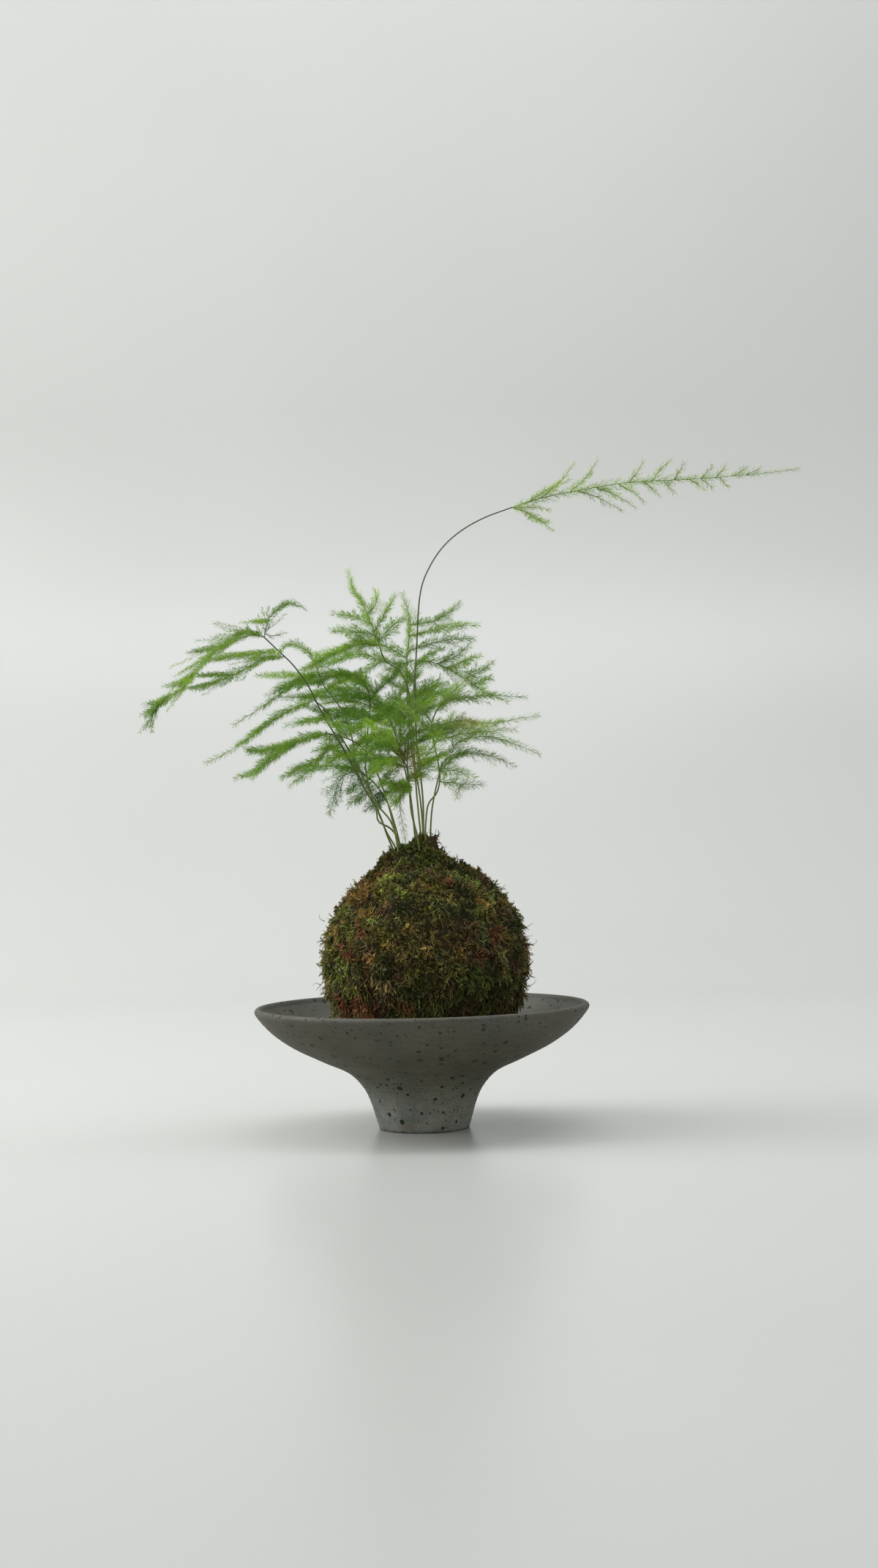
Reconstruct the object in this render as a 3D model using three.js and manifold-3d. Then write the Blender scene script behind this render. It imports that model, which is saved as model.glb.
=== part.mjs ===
import * as THREE from 'three';
import { mergeVertices } from 'three/addons/utils/BufferGeometryUtils.js';
import Module from 'manifold-3d';

// Moss ball with an asparagus fern, standing in a footed stoneware dish.
// Millimetres, +Z up. The origin is the centre of the foot's underside, and the front looks along -Y.

const wasm = await Module();
wasm.setup();

// Driving dimensions of the dish

const RIM_RADIUS = 90;
const RIM_HEIGHT = 66.2;
const LIP_THICKNESS = 4;
const FOOT_RADIUS = 24.3;
const FOOT_BEVEL = 0.8;
const FLOOR_HEIGHT = 36;
const WELL_RADIUS = 21;
const WELL_FLOOR = 9;
const DISH_SEGMENTS = 32;

// Driving dimensions of the ball

const FIT_GAP = 0.35;
const BALL_CENTRE = new THREE.Vector3(2.6, 0, 89.2);
const MOSS_RADIUS = 54;
const SOIL_RADIUS = 47;
const MOSS_UNDERSIDE = FLOOR_HEIGHT + FIT_GAP;
const SOIL_UNDERSIDE = MOSS_UNDERSIDE + 8;
const SOIL_UNEVENNESS = 0.6;
const SAG_BULGE = 4.5;
const SAG_START = 0.35;
const SAG_END = 0.86;
const COLLAR_RISE = 8;
const COLLAR_WIDTH = 15;
const COLLAR_X = -4;
const TUFT_HEIGHT = 2.6;
const TUFT_LEAN = 3.4;
const MOSS_DETAIL = 5;
const SOIL_DETAIL = 2;
const MOUND_SIDES = 7;

// Driving dimensions of the fern

const STEM_FOOT_RADIUS = 0.85;
const STEM_TIP_RADIUS = 0.6;
const STEM_STEP = 10;
const STEM_SIDES = 5;
const BURIED_RINGS = 3;
const SPRAY_RADIUS = 0.45;
const SPRAY_SIDES = 3;
const ROOT_RADIUS = 0.3;
const ROOT_DEPTH = 0.4;
const WHORL_SPACING = 6.6;
const WHORL_BAND = 1;
const FIRST_WHORL = 2.5;
const TIP_LENGTH = 4.5;
const NEEDLE_LENGTH = 5.2;
const PLUME_NEEDLE_LENGTH = 3.4;
const NEEDLE_LEAN = 0.75;
const NEEDLE_LEAN_SPREAD = 0.2;
const NEEDLE_SWAY = 0.35;
const NEEDLE_RADIUS = 0.35;
const NEEDLE_TRIES = 7;
const MOST_DRAWS = 20;
const CORNER_GAP = 2e-4;

// Random draws, always the same for the same seed

function seededRandom(seed) {
  let state = seed;
  return (low = 0, high = 1) => {
    state = (state + 0x6d2b79f5) | 0;
    let mixed = Math.imul(state ^ (state >>> 15), 1 | state);
    mixed = (mixed + Math.imul(mixed ^ (mixed >>> 7), 61 | mixed)) ^ mixed;
    return low + (high - low) * (((mixed ^ (mixed >>> 14)) >>> 0) / 4294967296);
  };
}

// Closed solids from three.js geometry and back

function closedGeometry(points, faces) {
  const geometry = new THREE.BufferGeometry().setFromPoints(points);
  geometry.setIndex(faces.flat());
  return geometry;
}

function weldedGeometry(geometry) {
  geometry.deleteAttribute('normal');
  geometry.deleteAttribute('uv');
  return mergeVertices(geometry, 1e-4);
}

function solidOf(geometry) {
  const welded = weldedGeometry(geometry);
  return new wasm.Manifold(new wasm.Mesh({
    numProp: 3,
    vertProperties: new Float32Array(welded.attributes.position.array),
    triVerts: new Uint32Array(welded.index.array),
  }));
}

function largestPiece(solid) {
  const pieces = solid.decompose();
  return pieces.reduce((best, piece) => (piece.volume() > best.volume() ? piece : best));
}

function meshOf(name, solid, material) {
  const cut = solid.getMesh();
  const geometry = new THREE.BufferGeometry();
  geometry.setAttribute('position', new THREE.BufferAttribute(cut.vertProperties, 3));
  geometry.setIndex(new THREE.BufferAttribute(cut.triVerts, 1));
  geometry.computeVertexNormals();
  const mesh = new THREE.Mesh(geometry, material);
  mesh.name = name;
  return mesh;
}

// Tubes: rings of points carried along a curve without twist

function framesAlong(curve, distances) {
  const length = curve.getLength();
  const normal = new THREE.Vector3(0.1, 0.2, 1);
  return distances.map((distance) => {
    const share = THREE.MathUtils.clamp(distance / length, 0, 1);
    const tangent = curve.getTangentAt(share);
    normal.addScaledVector(tangent, -normal.dot(tangent)).normalize();
    return {
      centre: curve.getPointAt(share),
      tangent,
      normal: normal.clone(),
      side: new THREE.Vector3().crossVectors(tangent, normal),
    };
  });
}

function ringPoints(frame, radius, sides) {
  return Array.from({ length: sides }, (_, index) => {
    const angle = (2 * Math.PI * index) / sides;
    return frame.centre.clone()
      .addScaledVector(frame.normal, radius * Math.cos(angle))
      .addScaledVector(frame.side, radius * Math.sin(angle));
  });
}

function tubeSolid(frames, radii, sides) {
  const points = frames.flatMap((frame, index) => ringPoints(frame, radii[index], sides));
  const faces = [];
  const last = (frames.length - 1) * sides;
  for (let start = 0; start < last; start += sides) {
    for (let side = 0; side < sides; side += 1) {
      const next = (side + 1) % sides;
      faces.push([start + side, start + next, start + sides + next]);
      faces.push([start + side, start + sides + next, start + sides + side]);
    }
  }
  for (let side = 1; side < sides - 1; side += 1) {
    faces.push([0, side + 1, side]);
    faces.push([last, last + side, last + side + 1]);
  }
  return solidOf(closedGeometry(points, faces));
}

function curveThrough(points) {
  const corners = points.map((point) => new THREE.Vector3(...point));
  return new THREE.CatmullRomCurve3(corners, false, 'centripetal');
}

// Dish: one turned wall from the foot over the lip and down into the well that holds the water

function dishMesh() {
  const lipRadius = LIP_THICKNESS / 2;
  const lipCentre = new THREE.Vector2(RIM_RADIUS - lipRadius, RIM_HEIGHT - lipRadius);
  const outside = [
    [0, 0],
    [FOOT_RADIUS - FOOT_BEVEL, 0],
    [FOOT_RADIUS, FOOT_BEVEL],
    [26, 6.5],
    [28, 13],
    [31.8, 21.5],
    [39.5, 30],
    [55.3, 37.7],
    [71, 45.7],
    [82.3, 54.2],
  ];
  const lip = [-20, 15, 50, 90, 130, 165].map((degrees) => {
    const angle = THREE.MathUtils.degToRad(degrees);
    return [lipCentre.x + lipRadius * Math.cos(angle), lipCentre.y + lipRadius * Math.sin(angle)];
  });
  const inside = [
    [77.5, 56.4],
    [66, 48.6],
    [52, 42],
    [38, FLOOR_HEIGHT + 1.2],
    [29, FLOOR_HEIGHT],
    [WELL_RADIUS + 1.2, FLOOR_HEIGHT],
    [WELL_RADIUS, FLOOR_HEIGHT - 1.5],
    [WELL_RADIUS - 3, WELL_FLOOR + 8],
    [WELL_RADIUS - 7, WELL_FLOOR + 1],
    [0, WELL_FLOOR],
  ];
  const profile = [...outside, ...lip, ...inside].map((point) => new THREE.Vector2(...point));
  const turned = new THREE.LatheGeometry(profile, DISH_SEGMENTS).rotateX(Math.PI / 2);
  const stoneware = new THREE.MeshStandardMaterial({ color: '#55554f', roughness: 0.8, metalness: 0 });
  return meshOf('dish', solidOf(turned), stoneware);
}

// Ball: a sphere that sags onto its flat underside

function sagRadius(direction, radius, underside) {
  const down = -direction.z;
  const sag = SAG_BULGE * THREE.MathUtils.smoothstep(down, SAG_START, SAG_END);
  const flat = (BALL_CENTRE.z - underside) / Math.max(down, 0.01);
  return Math.min(radius + sag, flat);
}

function shapedSphere(detail, place) {
  const sphere = weldedGeometry(new THREE.IcosahedronGeometry(1, detail));
  const direction = new THREE.Vector3();
  for (let index = 0; index < sphere.attributes.position.count; index += 1) {
    direction.fromBufferAttribute(sphere.attributes.position, index).normalize();
    const point = place(direction);
    sphere.attributes.position.setXYZ(index, point.x, point.y, point.z);
  }
  return sphere;
}

// Soil and roots: the ball's core with the ragged mounds that the stems stand in.
// Swollen by the fit gap, the same shape cuts the hollow of the moss.

// Each mound's rings from the bottom up: centre X, height and radius
const CLUMP_RINGS = [[3, 128, 14], [4, 143, 12], [5, 149.5, 9], [6, 153.5, 7.2], [6.5, 155.5, 4.8]];
const RIDGE_RINGS = [[-3, 128, 13], [-3, 143, 11.5], [-2.5, 148.5, 8], [-2, 150.5, 4]];
const LEFT_MOUND_RINGS = [[-8, 128, 12], [-10, 141, 10.5], [-10.5, 145, 8.5], [-11, 147, 4.5]];

// A dry root that stands up like a small horn on the clump
const HORN_PATH = [[9, 0, 151], [11.6, 0, 155.5], [11.2, 0, 159]];
const HORN_DISTANCES = [0, 3, 6, 8];
const HORN_RADII = [2, 1.5, 1, 0.4];
const HORN_SIDES = 6;

function raggedMound(rings, seed, swell) {
  const random = seededRandom(seed);
  const sides = MOUND_SIDES;
  const points = [];
  for (const [x, z, radius] of rings) {
    for (let side = 0; side < sides; side += 1) {
      const angle = (2 * Math.PI * (side + random(-0.25, 0.25))) / sides;
      const reach = radius * random(0.9, 1.12) + swell;
      const height = z + random(-0.5, 0.5);
      points.push(new THREE.Vector3(x + reach * Math.cos(angle), reach * Math.sin(angle), height));
    }
  }
  const [bottomX, bottomZ] = rings[0];
  const [topX, topZ] = rings[rings.length - 1];
  const bottom = points.push(new THREE.Vector3(bottomX, 0, bottomZ - 1)) - 1;
  const top = points.push(new THREE.Vector3(topX, 0, topZ + 0.8 + swell)) - 1;
  const faces = [];
  for (let side = 0; side < sides; side += 1) {
    const next = (side + 1) % sides;
    faces.push([bottom, next, side]);
    for (let ring = 0; ring < rings.length - 1; ring += 1) {
      const low = ring * sides;
      const high = low + sides;
      faces.push([low + side, low + next, high + next]);
      faces.push([low + side, high + next, high + side]);
    }
    const rim = (rings.length - 1) * sides;
    faces.push([rim + side, rim + next, top]);
  }
  return solidOf(closedGeometry(points, faces));
}

function soilSolid(swell) {
  const random = seededRandom(11);
  const core = shapedSphere(SOIL_DETAIL, (direction) => {
    const radius = SOIL_RADIUS + SOIL_UNEVENNESS * random(-1, 1) + swell;
    const reach = sagRadius(direction, radius, SOIL_UNDERSIDE - swell);
    return BALL_CENTRE.clone().addScaledVector(direction, reach);
  });
  const clump = raggedMound(CLUMP_RINGS, 21, swell);
  const ridge = raggedMound(RIDGE_RINGS, 22, swell);
  const leftMound = raggedMound(LEFT_MOUND_RINGS, 23, swell);
  const hornFrames = framesAlong(curveThrough(HORN_PATH), HORN_DISTANCES);
  const horn = tubeSolid(hornFrames, HORN_RADII.map((radius) => radius + swell), HORN_SIDES);
  return solidOf(core).add(clump).add(ridge).add(leftMound).add(horn);
}

// Moss: a skin round the soil, drawn up to a collar at the neck. Each facet is raised to a pointed tuft
// that leans downhill, outwards on top and hanging down the sides.

function mossSkin() {
  return shapedSphere(MOSS_DETAIL, (direction) => {
    const place = direction.clone().multiplyScalar(MOSS_RADIUS).add(BALL_CENTRE);
    const fromCollar = Math.hypot(place.x - COLLAR_X, place.y);
    const collar = direction.z > 0 ? COLLAR_RISE * Math.exp(-((fromCollar / COLLAR_WIDTH) ** 2)) : 0;
    const reach = sagRadius(direction, MOSS_RADIUS + collar, MOSS_UNDERSIDE);
    return BALL_CENTRE.clone().addScaledVector(direction, reach);
  });
}

function mossSolid() {
  const random = seededRandom(31);
  const skin = mossSkin();
  const corners = skin.attributes.position;
  const points = Array.from({ length: corners.count }, (_, index) => (
    new THREE.Vector3().fromBufferAttribute(corners, index)
  ));
  const faces = [];
  for (let face = 0; face < skin.index.count; face += 3) {
    const [a, b, c] = [0, 1, 2].map((offset) => skin.index.getX(face + offset));
    const tuft = points[a].clone().add(points[b]).add(points[c]).divideScalar(3);
    const outward = tuft.clone().sub(BALL_CENTRE).normalize();
    const downhill = new THREE.Vector3(0, 0, -1).addScaledVector(outward, outward.z);
    if (tuft.z < MOSS_UNDERSIDE + 1) {
      faces.push([a, b, c]);
    } else {
      tuft.addScaledVector(outward, TUFT_HEIGHT * random(0.6, 1.3));
      tuft.addScaledVector(downhill, TUFT_LEAN * random(0.5, 1));
      tuft.z = Math.max(tuft.z, MOSS_UNDERSIDE);
      const tip = points.push(tuft) - 1;
      faces.push([a, b, tip], [b, c, tip], [c, a, tip]);
    }
  }
  return solidOf(closedGeometry(points, faces));
}

// Fern: each frond is one stem, from its buried foot upwards, and the sprays that branch from it.
// A spray starts on the stem or on an earlier spray. The needles stand round it in whorls of three.

const FRONDS = [
  {
    name: 'frond_far_left',
    stem: [
      [-11.5, -3.5, 138], [-13, -4.5, 147.5], [-16.5, -6.5, 157], [-21, -9.5, 170], [-27.5, -13, 181.5],
      [-38.5, -17, 203.5], [-49.5, -20, 223], [-57, -22, 238.5], [-64.5, -23, 249], [-72, -24, 256.5],
      [-79, -24, 263.5],
    ],
    sprays: [
      [[-79, -24, 263.5], [-83, -24, 265], [-99, -26, 260], [-112, -30, 249], [-122, -32, 237],
        [-133, -34, 230], [-138, -36, 215]],
      [[-79, -24, 263], [-78, -22, 269], [-76, -19, 275], [-67, -14, 282], [-58, -10, 280]],
      [[-77, -21, 273], [-84, -32, 271]],
      [[-81, -24, 264.5], [-90, -15, 267], [-104, -8, 261], [-122, -3, 258]],
      [[-72, -24, 256.5], [-67, -31, 268]],
      [[-72, -24, 256.5], [-82, -36, 254], [-95, -46, 252], [-106, -54, 249]],
      [[-69, -23.5, 253.5], [-80, -15, 253], [-91, -11, 248], [-105, -8, 242], [-125, -5, 238]],
      [[-97, -10, 245], [-117, 1, 246]],
      [[-127, -33, 233], [-143, -22, 231]],
      [[-117, -31, 243], [-125, -46, 237]],
    ],
  },
  {
    name: 'frond_left_upper',
    stem: [
      [-10.5, 0.5, 139], [-11.6, -0.3, 148.5], [-17, -0.5, 159], [-22.5, -2, 172.5], [-30.5, -2.5, 187.5],
      [-34.5, 0, 209.5], [-39.5, 4, 225], [-45.5, 6, 233.5], [-50, 7, 240], [-53, 8, 248.5],
    ],
    sprays: [
      [[-53, 8, 248], [-56, 9, 256], [-67, 14, 263], [-73, 19, 261]],
      [[-51, 7.5, 245], [-67, 16, 246], [-87, 26, 247]],
      [[-45.5, 6, 233], [-58, -4, 233], [-71, -12, 232]],
      [[-48, 6.5, 237], [-39, 20, 243], [-28, 34, 246]],
    ],
  },
  {
    name: 'frond_left_middle',
    stem: [
      [-9, 5, 139.5], [-10.5, 4.5, 149], [-12, 4.5, 157], [-15.5, 3.5, 161.5], [-18.5, 2.5, 163],
      [-21.5, 3, 165], [-22.5, 5, 171], [-25.5, 8, 180], [-28, 11, 194], [-26.5, 13, 214], [-25, 13, 232],
      [-28, 13, 243],
    ],
    sprays: [
      [[-28, 13, 243], [-43, 14, 247], [-60, 12, 244], [-73, 10, 236], [-86, 8, 227], [-99, 6, 219]],
      [[-39, 14, 246], [-52, 26, 244], [-66, 36, 241]],
      [[-55, 12.5, 245.5], [-66, 0, 240], [-79, -8, 234]],
      [[-26, 13, 224], [-38, 24, 227], [-52, 34, 226]],
    ],
  },
  {
    name: 'frond_left_long',
    stem: [
      [-7.5, -2.5, 139.5], [-8.8, -2.6, 148.5], [-11.5, -3, 156], [-15, -4, 165.5], [-20.5, -5.5, 172.5],
      [-24.5, -8, 179.5], [-32, -10, 195.5], [-40.5, -12, 211.5], [-48, -13, 225], [-53.5, -14, 230],
    ],
    sprays: [
      [[-53.5, -14, 230], [-67, -16, 225], [-80, -18, 217], [-91, -20, 209], [-104, -22, 201],
        [-111, -23, 198]],
      [[-46, -12.7, 221.5], [-55, -24, 219], [-68, -34, 216]],
      [[-39, -11.6, 208], [-49, 0, 212], [-63, 8, 213]],
      [[-43, -12.3, 216], [-32, -24, 220], [-20, -34, 224]],
    ],
  },
  {
    name: 'frond_left_low',
    stem: [
      [-10, -7, 140], [-11, -8, 150], [-12.5, -9.5, 160], [-15, -12, 171.5], [-18.5, -15, 183.5],
      [-23, -19, 195], [-30, -26, 205.5], [-39.5, -31, 210], [-47, -34, 211.5],
    ],
    sprays: [
      [[-47, -34, 211.5], [-62, -37, 207], [-74, -39, 200], [-83, -40, 193], [-94, -40, 189]],
      [[-61, -37, 207], [-75, -48, 203], [-87, -56, 203]],
      [[-45, -33, 211], [-47, -30, 202], [-61, -26, 194], [-71, -22, 189]],
      [[-29, -25, 204.5], [-21, -31, 208], [-12, -33, 213]],
    ],
  },
  {
    name: 'frond_left_hanging',
    stem: [
      [-8, 8.5, 139.5], [-9.5, 9.5, 149], [-12.5, 12, 162], [-17, 16, 176], [-24.5, 20, 187],
      [-34.5, 24, 194.5],
    ],
    sprays: [
      [[-34.5, 24, 194.5], [-45, 27, 196], [-56, 30, 196], [-71, 33, 186]],
      [[-33, 23.5, 193.5], [-41, 18, 190], [-45, 14, 181], [-48, 10, 169]],
      [[-24.5, 20, 187], [-31, 12, 181], [-37, 6, 174]],
      [[-21, 18.2, 182.5], [-20, 28, 177], [-24, 36, 173]],
      [[-28, 21.5, 190], [-41, 36, 203], [-53, 48, 209]],
    ],
  },
  {
    name: 'frond_top_left',
    stem: [
      [2, 1.5, 145], [1.5, 1.5, 154.5], [0, 2, 173.5], [-1, 3, 189.5], [-1.5, 4, 205], [-2.5, 5, 219],
      [-4, 6, 237], [-8.5, 6, 247], [-16, 6, 252], [-19, 6, 260.5],
    ],
    sprays: [
      [[-19, 6, 260.5], [-23, 6, 272], [-28, 5, 284], [-32, 4, 290], [-35, 2, 301]],
      [[-17.5, 6, 255], [-30, 0, 261], [-46, -7, 256], [-62, -12, 247]],
      [[-15, 6, 251], [-31, 16, 257], [-45, 26, 254], [-58, 34, 250]],
      [[-23, 6, 272], [-32, 14, 277], [-44, 22, 280]],
      [[-21.3, 6, 267], [-32, -6, 267], [-44, -16, 267]],
      [[-25.5, 5.5, 278], [-20, -2, 283], [-20, -7, 289]],
      [[-22, 6, 269], [-15, 9, 279], [-10, 12, 288]],
      [[-20, 6, 263], [-11, -8, 270], [-3, -16, 274]],
    ],
  },
  {
    name: 'frond_top_middle',
    stem: [
      [2.8, 5, 145], [2.6, 5.5, 154.5], [2, 8, 169.5], [0.5, 11, 183.5], [-2, 15, 197.5], [-3.5, 19, 214],
      [-4.5, 22, 234], [-4.5, 22, 252.5],
    ],
    sprays: [
      [[-4.5, 22, 252.5], [-3, 22, 266], [-2, 21, 275], [-6, 18, 290]],
      [[-2.3, 21.5, 272], [14, 12, 275], [25, 4, 282]],
      [[-3, 22, 266], [18, 32, 272], [35, 42, 274]],
      [[-3.7, 22, 259], [17, 12, 263], [32, 4, 263]],
      [[-4.2, 22, 255], [-15, 34, 262], [-27, 44, 268]],
    ],
  },
  {
    name: 'frond_tall_plume',
    needle: PLUME_NEEDLE_LENGTH,
    stem: [
      [3.2, -1.5, 145], [2.8, -1.8, 154.5], [3, -3, 173.5], [2, -5, 189], [0.5, -7, 204.5], [0, -9, 232],
      [1.5, -10, 259.5], [4.5, -11, 289], [9.5, -11, 301], [17, -11, 311.5], [26.5, -11, 319.5],
      [38.5, -11, 326], [54, -11, 331.5],
    ],
    sprays: [
      [[54, -11, 331.5], [70, -12, 336], [93, -13, 340], [117, -14, 343], [152, -15, 344], [187, -16, 346],
        [207, -16, 348]],
      [[54, -11, 331.5], [66, -9, 327], [76, -6, 319]],
      [[54, -11, 331.5], [64, -20, 330], [73, -30, 327]],
      [[62, -9.8, 328.8], [68, 0, 326], [75, 8, 326]],
      [[70, -12, 336], [81, -17, 345], [87, -20, 353]],
      [[63, -11.5, 334], [74, -4, 342], [86, 4, 348]],
      [[86, -12.7, 339], [94, -8, 347], [101, -5, 357]],
      [[89, -13, 339.4], [101, -18, 334], [112, -22, 327]],
      [[100, -13.4, 341], [111, -7, 337], [121, -3, 331]],
      [[111, -14, 342], [118, -19, 337], [124, -23, 331]],
      [[116, -14, 343], [121, -18, 348], [124, -21, 353]],
      [[125, -14.3, 343.3], [134, -8, 336]],
      [[128, -14.4, 343.4], [134, -10, 350], [140, -8, 356]],
      [[134, -14.5, 343.6], [140, -20, 336]],
      [[140, -14.7, 343.8], [146, -19, 352]],
      [[149, -15, 344], [157, -9, 340]],
      [[155, -15, 344], [162, -11, 351]],
      [[156, -15, 344], [161, -20, 338]],
      [[163, -15.3, 344.4], [168, -19, 350]],
      [[165, -15.4, 344.6], [170, -10, 340]],
      [[173, -15.6, 345], [180, -12, 350]],
      [[180, -15.8, 345.5], [186, -20, 348]],
    ],
  },
  {
    name: 'frond_right_upper',
    stem: [
      [1, 8.5, 144], [0.3, 9, 153.5], [-1, 10.5, 158.5], [-3.5, 13, 169], [-4.5, 17, 182], [-5.5, 23, 198],
      [-4, 28, 214.5], [-1.5, 30, 234.5], [0.5, 30, 254],
    ],
    sprays: [
      [[0.5, 30, 254], [11, 28, 252], [19, 26, 248], [27, 24, 243], [38, 20, 235], [50, 16, 229]],
      [[12, 27.8, 251.7], [23, 20, 255], [31, 14, 262]],
      [[17, 26.5, 249], [27, 36, 253], [36, 46, 257]],
      [[28, 23.8, 242.4], [36, 14, 246], [42, 6, 250]],
      [[32, 22.4, 239.4], [42, 32, 243]],
      [[0.5, 30, 253.5], [-9, 33, 252], [-17, 35, 254], [-26, 38, 250], [-36, 42, 244]],
    ],
  },
  {
    name: 'frond_right_middle',
    stem: [
      [4.2, -5, 146], [3.8, -5.5, 155], [4.3, -6.5, 164.5], [6, -8, 174], [10.5, -9.5, 179.5],
      [12.2, -11, 186.5], [12, -12, 192.5], [10, -14, 204], [8.5, -16, 216], [11.5, -17, 223.5],
    ],
    sprays: [
      [[11.5, -17, 223.5], [19, -18, 229], [32, -20, 230], [44, -22, 230], [58, -24, 229]],
      [[8.6, -15.8, 214.8], [22, -26, 217], [37, -34, 215], [64, -42, 218]],
      [[9.6, -14.5, 207], [28, -8, 211], [54, 0, 213]],
      [[8.8, -15.5, 213], [1, -26, 219], [-8, -34, 225], [-19, -40, 229]],
      [[12, -17, 224], [21, -30, 233], [29, -40, 239]],
    ],
  },
  {
    name: 'frond_right_low',
    stem: [
      [7, 1.5, 146.5], [6.6, 1.5, 156], [7.5, 2, 169.5], [9.5, 3, 180], [11.8, 3, 189], [13.7, 3, 195],
      [17.5, 3, 199],
    ],
    sprays: [
      [[17.5, 3, 199], [24, 2, 201], [34, 0, 200], [43, -2, 198], [52, -4, 193]],
      [[17, 3, 198.5], [24, 12, 208], [40, 17, 210], [56, 20, 205], [67, 22, 200]],
      [[12.4, 3, 191], [21, 16, 192], [32, 26, 188]],
      [[10.7, 3, 185], [24, -7, 184], [35, -14, 183]],
      [[23, -6.3, 184], [21, -7, 177]],
    ],
  },
  {
    name: 'frond_centre_front',
    stem: [
      [0.8, -9, 145], [0, -9.5, 154], [-2, -12, 163.5], [-3, -16.5, 173.5], [-4, -22, 183], [-5, -28, 192.5],
      [-8, -35, 198.5], [-12.5, -41, 201.5],
    ],
    sprays: [
      [[-12.5, -41, 201.5], [-20, -48, 203], [-29, -56, 196]],
      [[-4, -21.5, 182], [-8, -26, 179], [-9, -28, 173], [-8, -29, 164], [-6, -30, 152]],
      [[-4, -22.5, 184], [-9, -33, 182], [-15, -40, 176]],
      [[-4.4, -24.5, 187], [3, -31, 189], [9, -36, 195]],
      [[-7, -32.5, 196.5], [-5, -38, 207], [-2, -42, 218]],
      [[-10.2, -38, 200.2], [-18, -50, 211], [-25, -62, 216]],
    ],
  },
  {
    name: 'frond_centre_back',
    stem: [
      [-1, 12, 142], [-1.5, 12.5, 150], [-3, 18, 168], [-5.5, 27, 186], [-9, 36, 202.5], [-14, 44, 219.5],
      [-20, 50, 231.5],
    ],
    sprays: [
      [[-20, 50, 231.5], [-33, 55, 239], [-49, 60, 240], [-68, 64, 234]],
      [[-13, 42.4, 216], [0, 48, 230], [13, 52, 236], [29, 58, 232]],
      [[-8.7, 35.3, 201], [4, 45, 211], [21, 54, 215]],
      [[-13.8, 43.7, 219], [-16, 62, 228], [-19, 82, 234]],
      [[-16.7, 47, 225], [-27, 62, 223], [-38, 76, 217]],
    ],
  },
];

// Room that stems, sprays and needles already take, so that no frond crosses another

const taken = [];

function segmentGap(first, second) {
  const u = new THREE.Vector3().subVectors(first.to, first.from);
  const v = new THREE.Vector3().subVectors(second.to, second.from);
  const w = new THREE.Vector3().subVectors(first.from, second.from);
  const uu = u.dot(u);
  const uv = u.dot(v);
  const vv = v.dot(v);
  const spread = uu * vv - uv * uv;
  const clamp = THREE.MathUtils.clamp;
  let s = spread > 1e-9 ? clamp((uv * v.dot(w) - vv * u.dot(w)) / spread, 0, 1) : 0;
  const t = clamp((uv * s + v.dot(w)) / vv, 0, 1);
  s = clamp((uv * t - u.dot(w)) / uu, 0, 1);
  return w.addScaledVector(u, s).addScaledVector(v, -t).length() - first.radius - second.radius;
}

function isClear(candidate) {
  return taken.every((other) => {
    const sameFrond = other.frond === candidate.frond;
    if (sameFrond && (other.spray !== candidate.spray || other.whorl === candidate.whorl)) {
      return true;
    }
    const reach = other.from.distanceTo(candidate.from) - other.length - candidate.length;
    return reach > 2 || segmentGap(other, candidate) > FIT_GAP;
  });
}

function take(from, to, radius, place) {
  const room = { from, to, radius, length: from.distanceTo(to), ...place };
  taken.push(room);
  return room;
}

function planStem(frond) {
  const curve = curveThrough(frond.stem);
  const length = curve.getLength();
  const count = Math.round(length / STEM_STEP);
  const distances = Array.from({ length: count + 1 }, (_, index) => (length * index) / count);
  const frames = framesAlong(curve, distances);
  const radii = distances.map((distance) => (
    THREE.MathUtils.lerp(STEM_FOOT_RADIUS, STEM_TIP_RADIUS, distance / length)
  ));
  frames.slice(1).forEach((frame, index) => {
    take(frames[index].centre, frame.centre, radii[index], { frond: frond.name, spray: 'stem' });
  });
  return { frames, radii };
}

// A spray is rooted in the nearest stem or core of its own frond

function nearestOnFrond(frond, point) {
  const target = new THREE.Vector3(...point);
  const nearest = taken.filter((room) => room.frond === frond.name).map((room) => (
    new THREE.Line3(room.from, room.to).closestPointToPoint(target, true, new THREE.Vector3())
  ));
  return nearest.reduce((best, place) => (place.distanceTo(target) < best.distanceTo(target) ? place : best));
}

function planSpray(frond, points, spray) {
  const root = nearestOnFrond(frond, points[0]).toArray();
  const curve = curveThrough([root, ...points.slice(1)]);
  const length = curve.getLength();
  const distances = [0];
  for (let start = FIRST_WHORL; start + WHORL_BAND < length - TIP_LENGTH; start += WHORL_SPACING) {
    distances.push(start, start + WHORL_BAND);
  }
  const frames = framesAlong(curve, distances);
  frames[0].centre.addScaledVector(frames[0].tangent, -ROOT_DEPTH);
  const tip = curve.getPointAt(1);
  const centres = [...frames.map((frame) => frame.centre), tip];
  centres.slice(1).forEach((centre, index) => {
    take(centres[index], centre, SPRAY_RADIUS, { frond: frond.name, spray: 'core' });
  });
  return { frames, tip, spray };
}

// Raises a needle on a triangle of a whorl's band, turned a little where another frond is in the way

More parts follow.
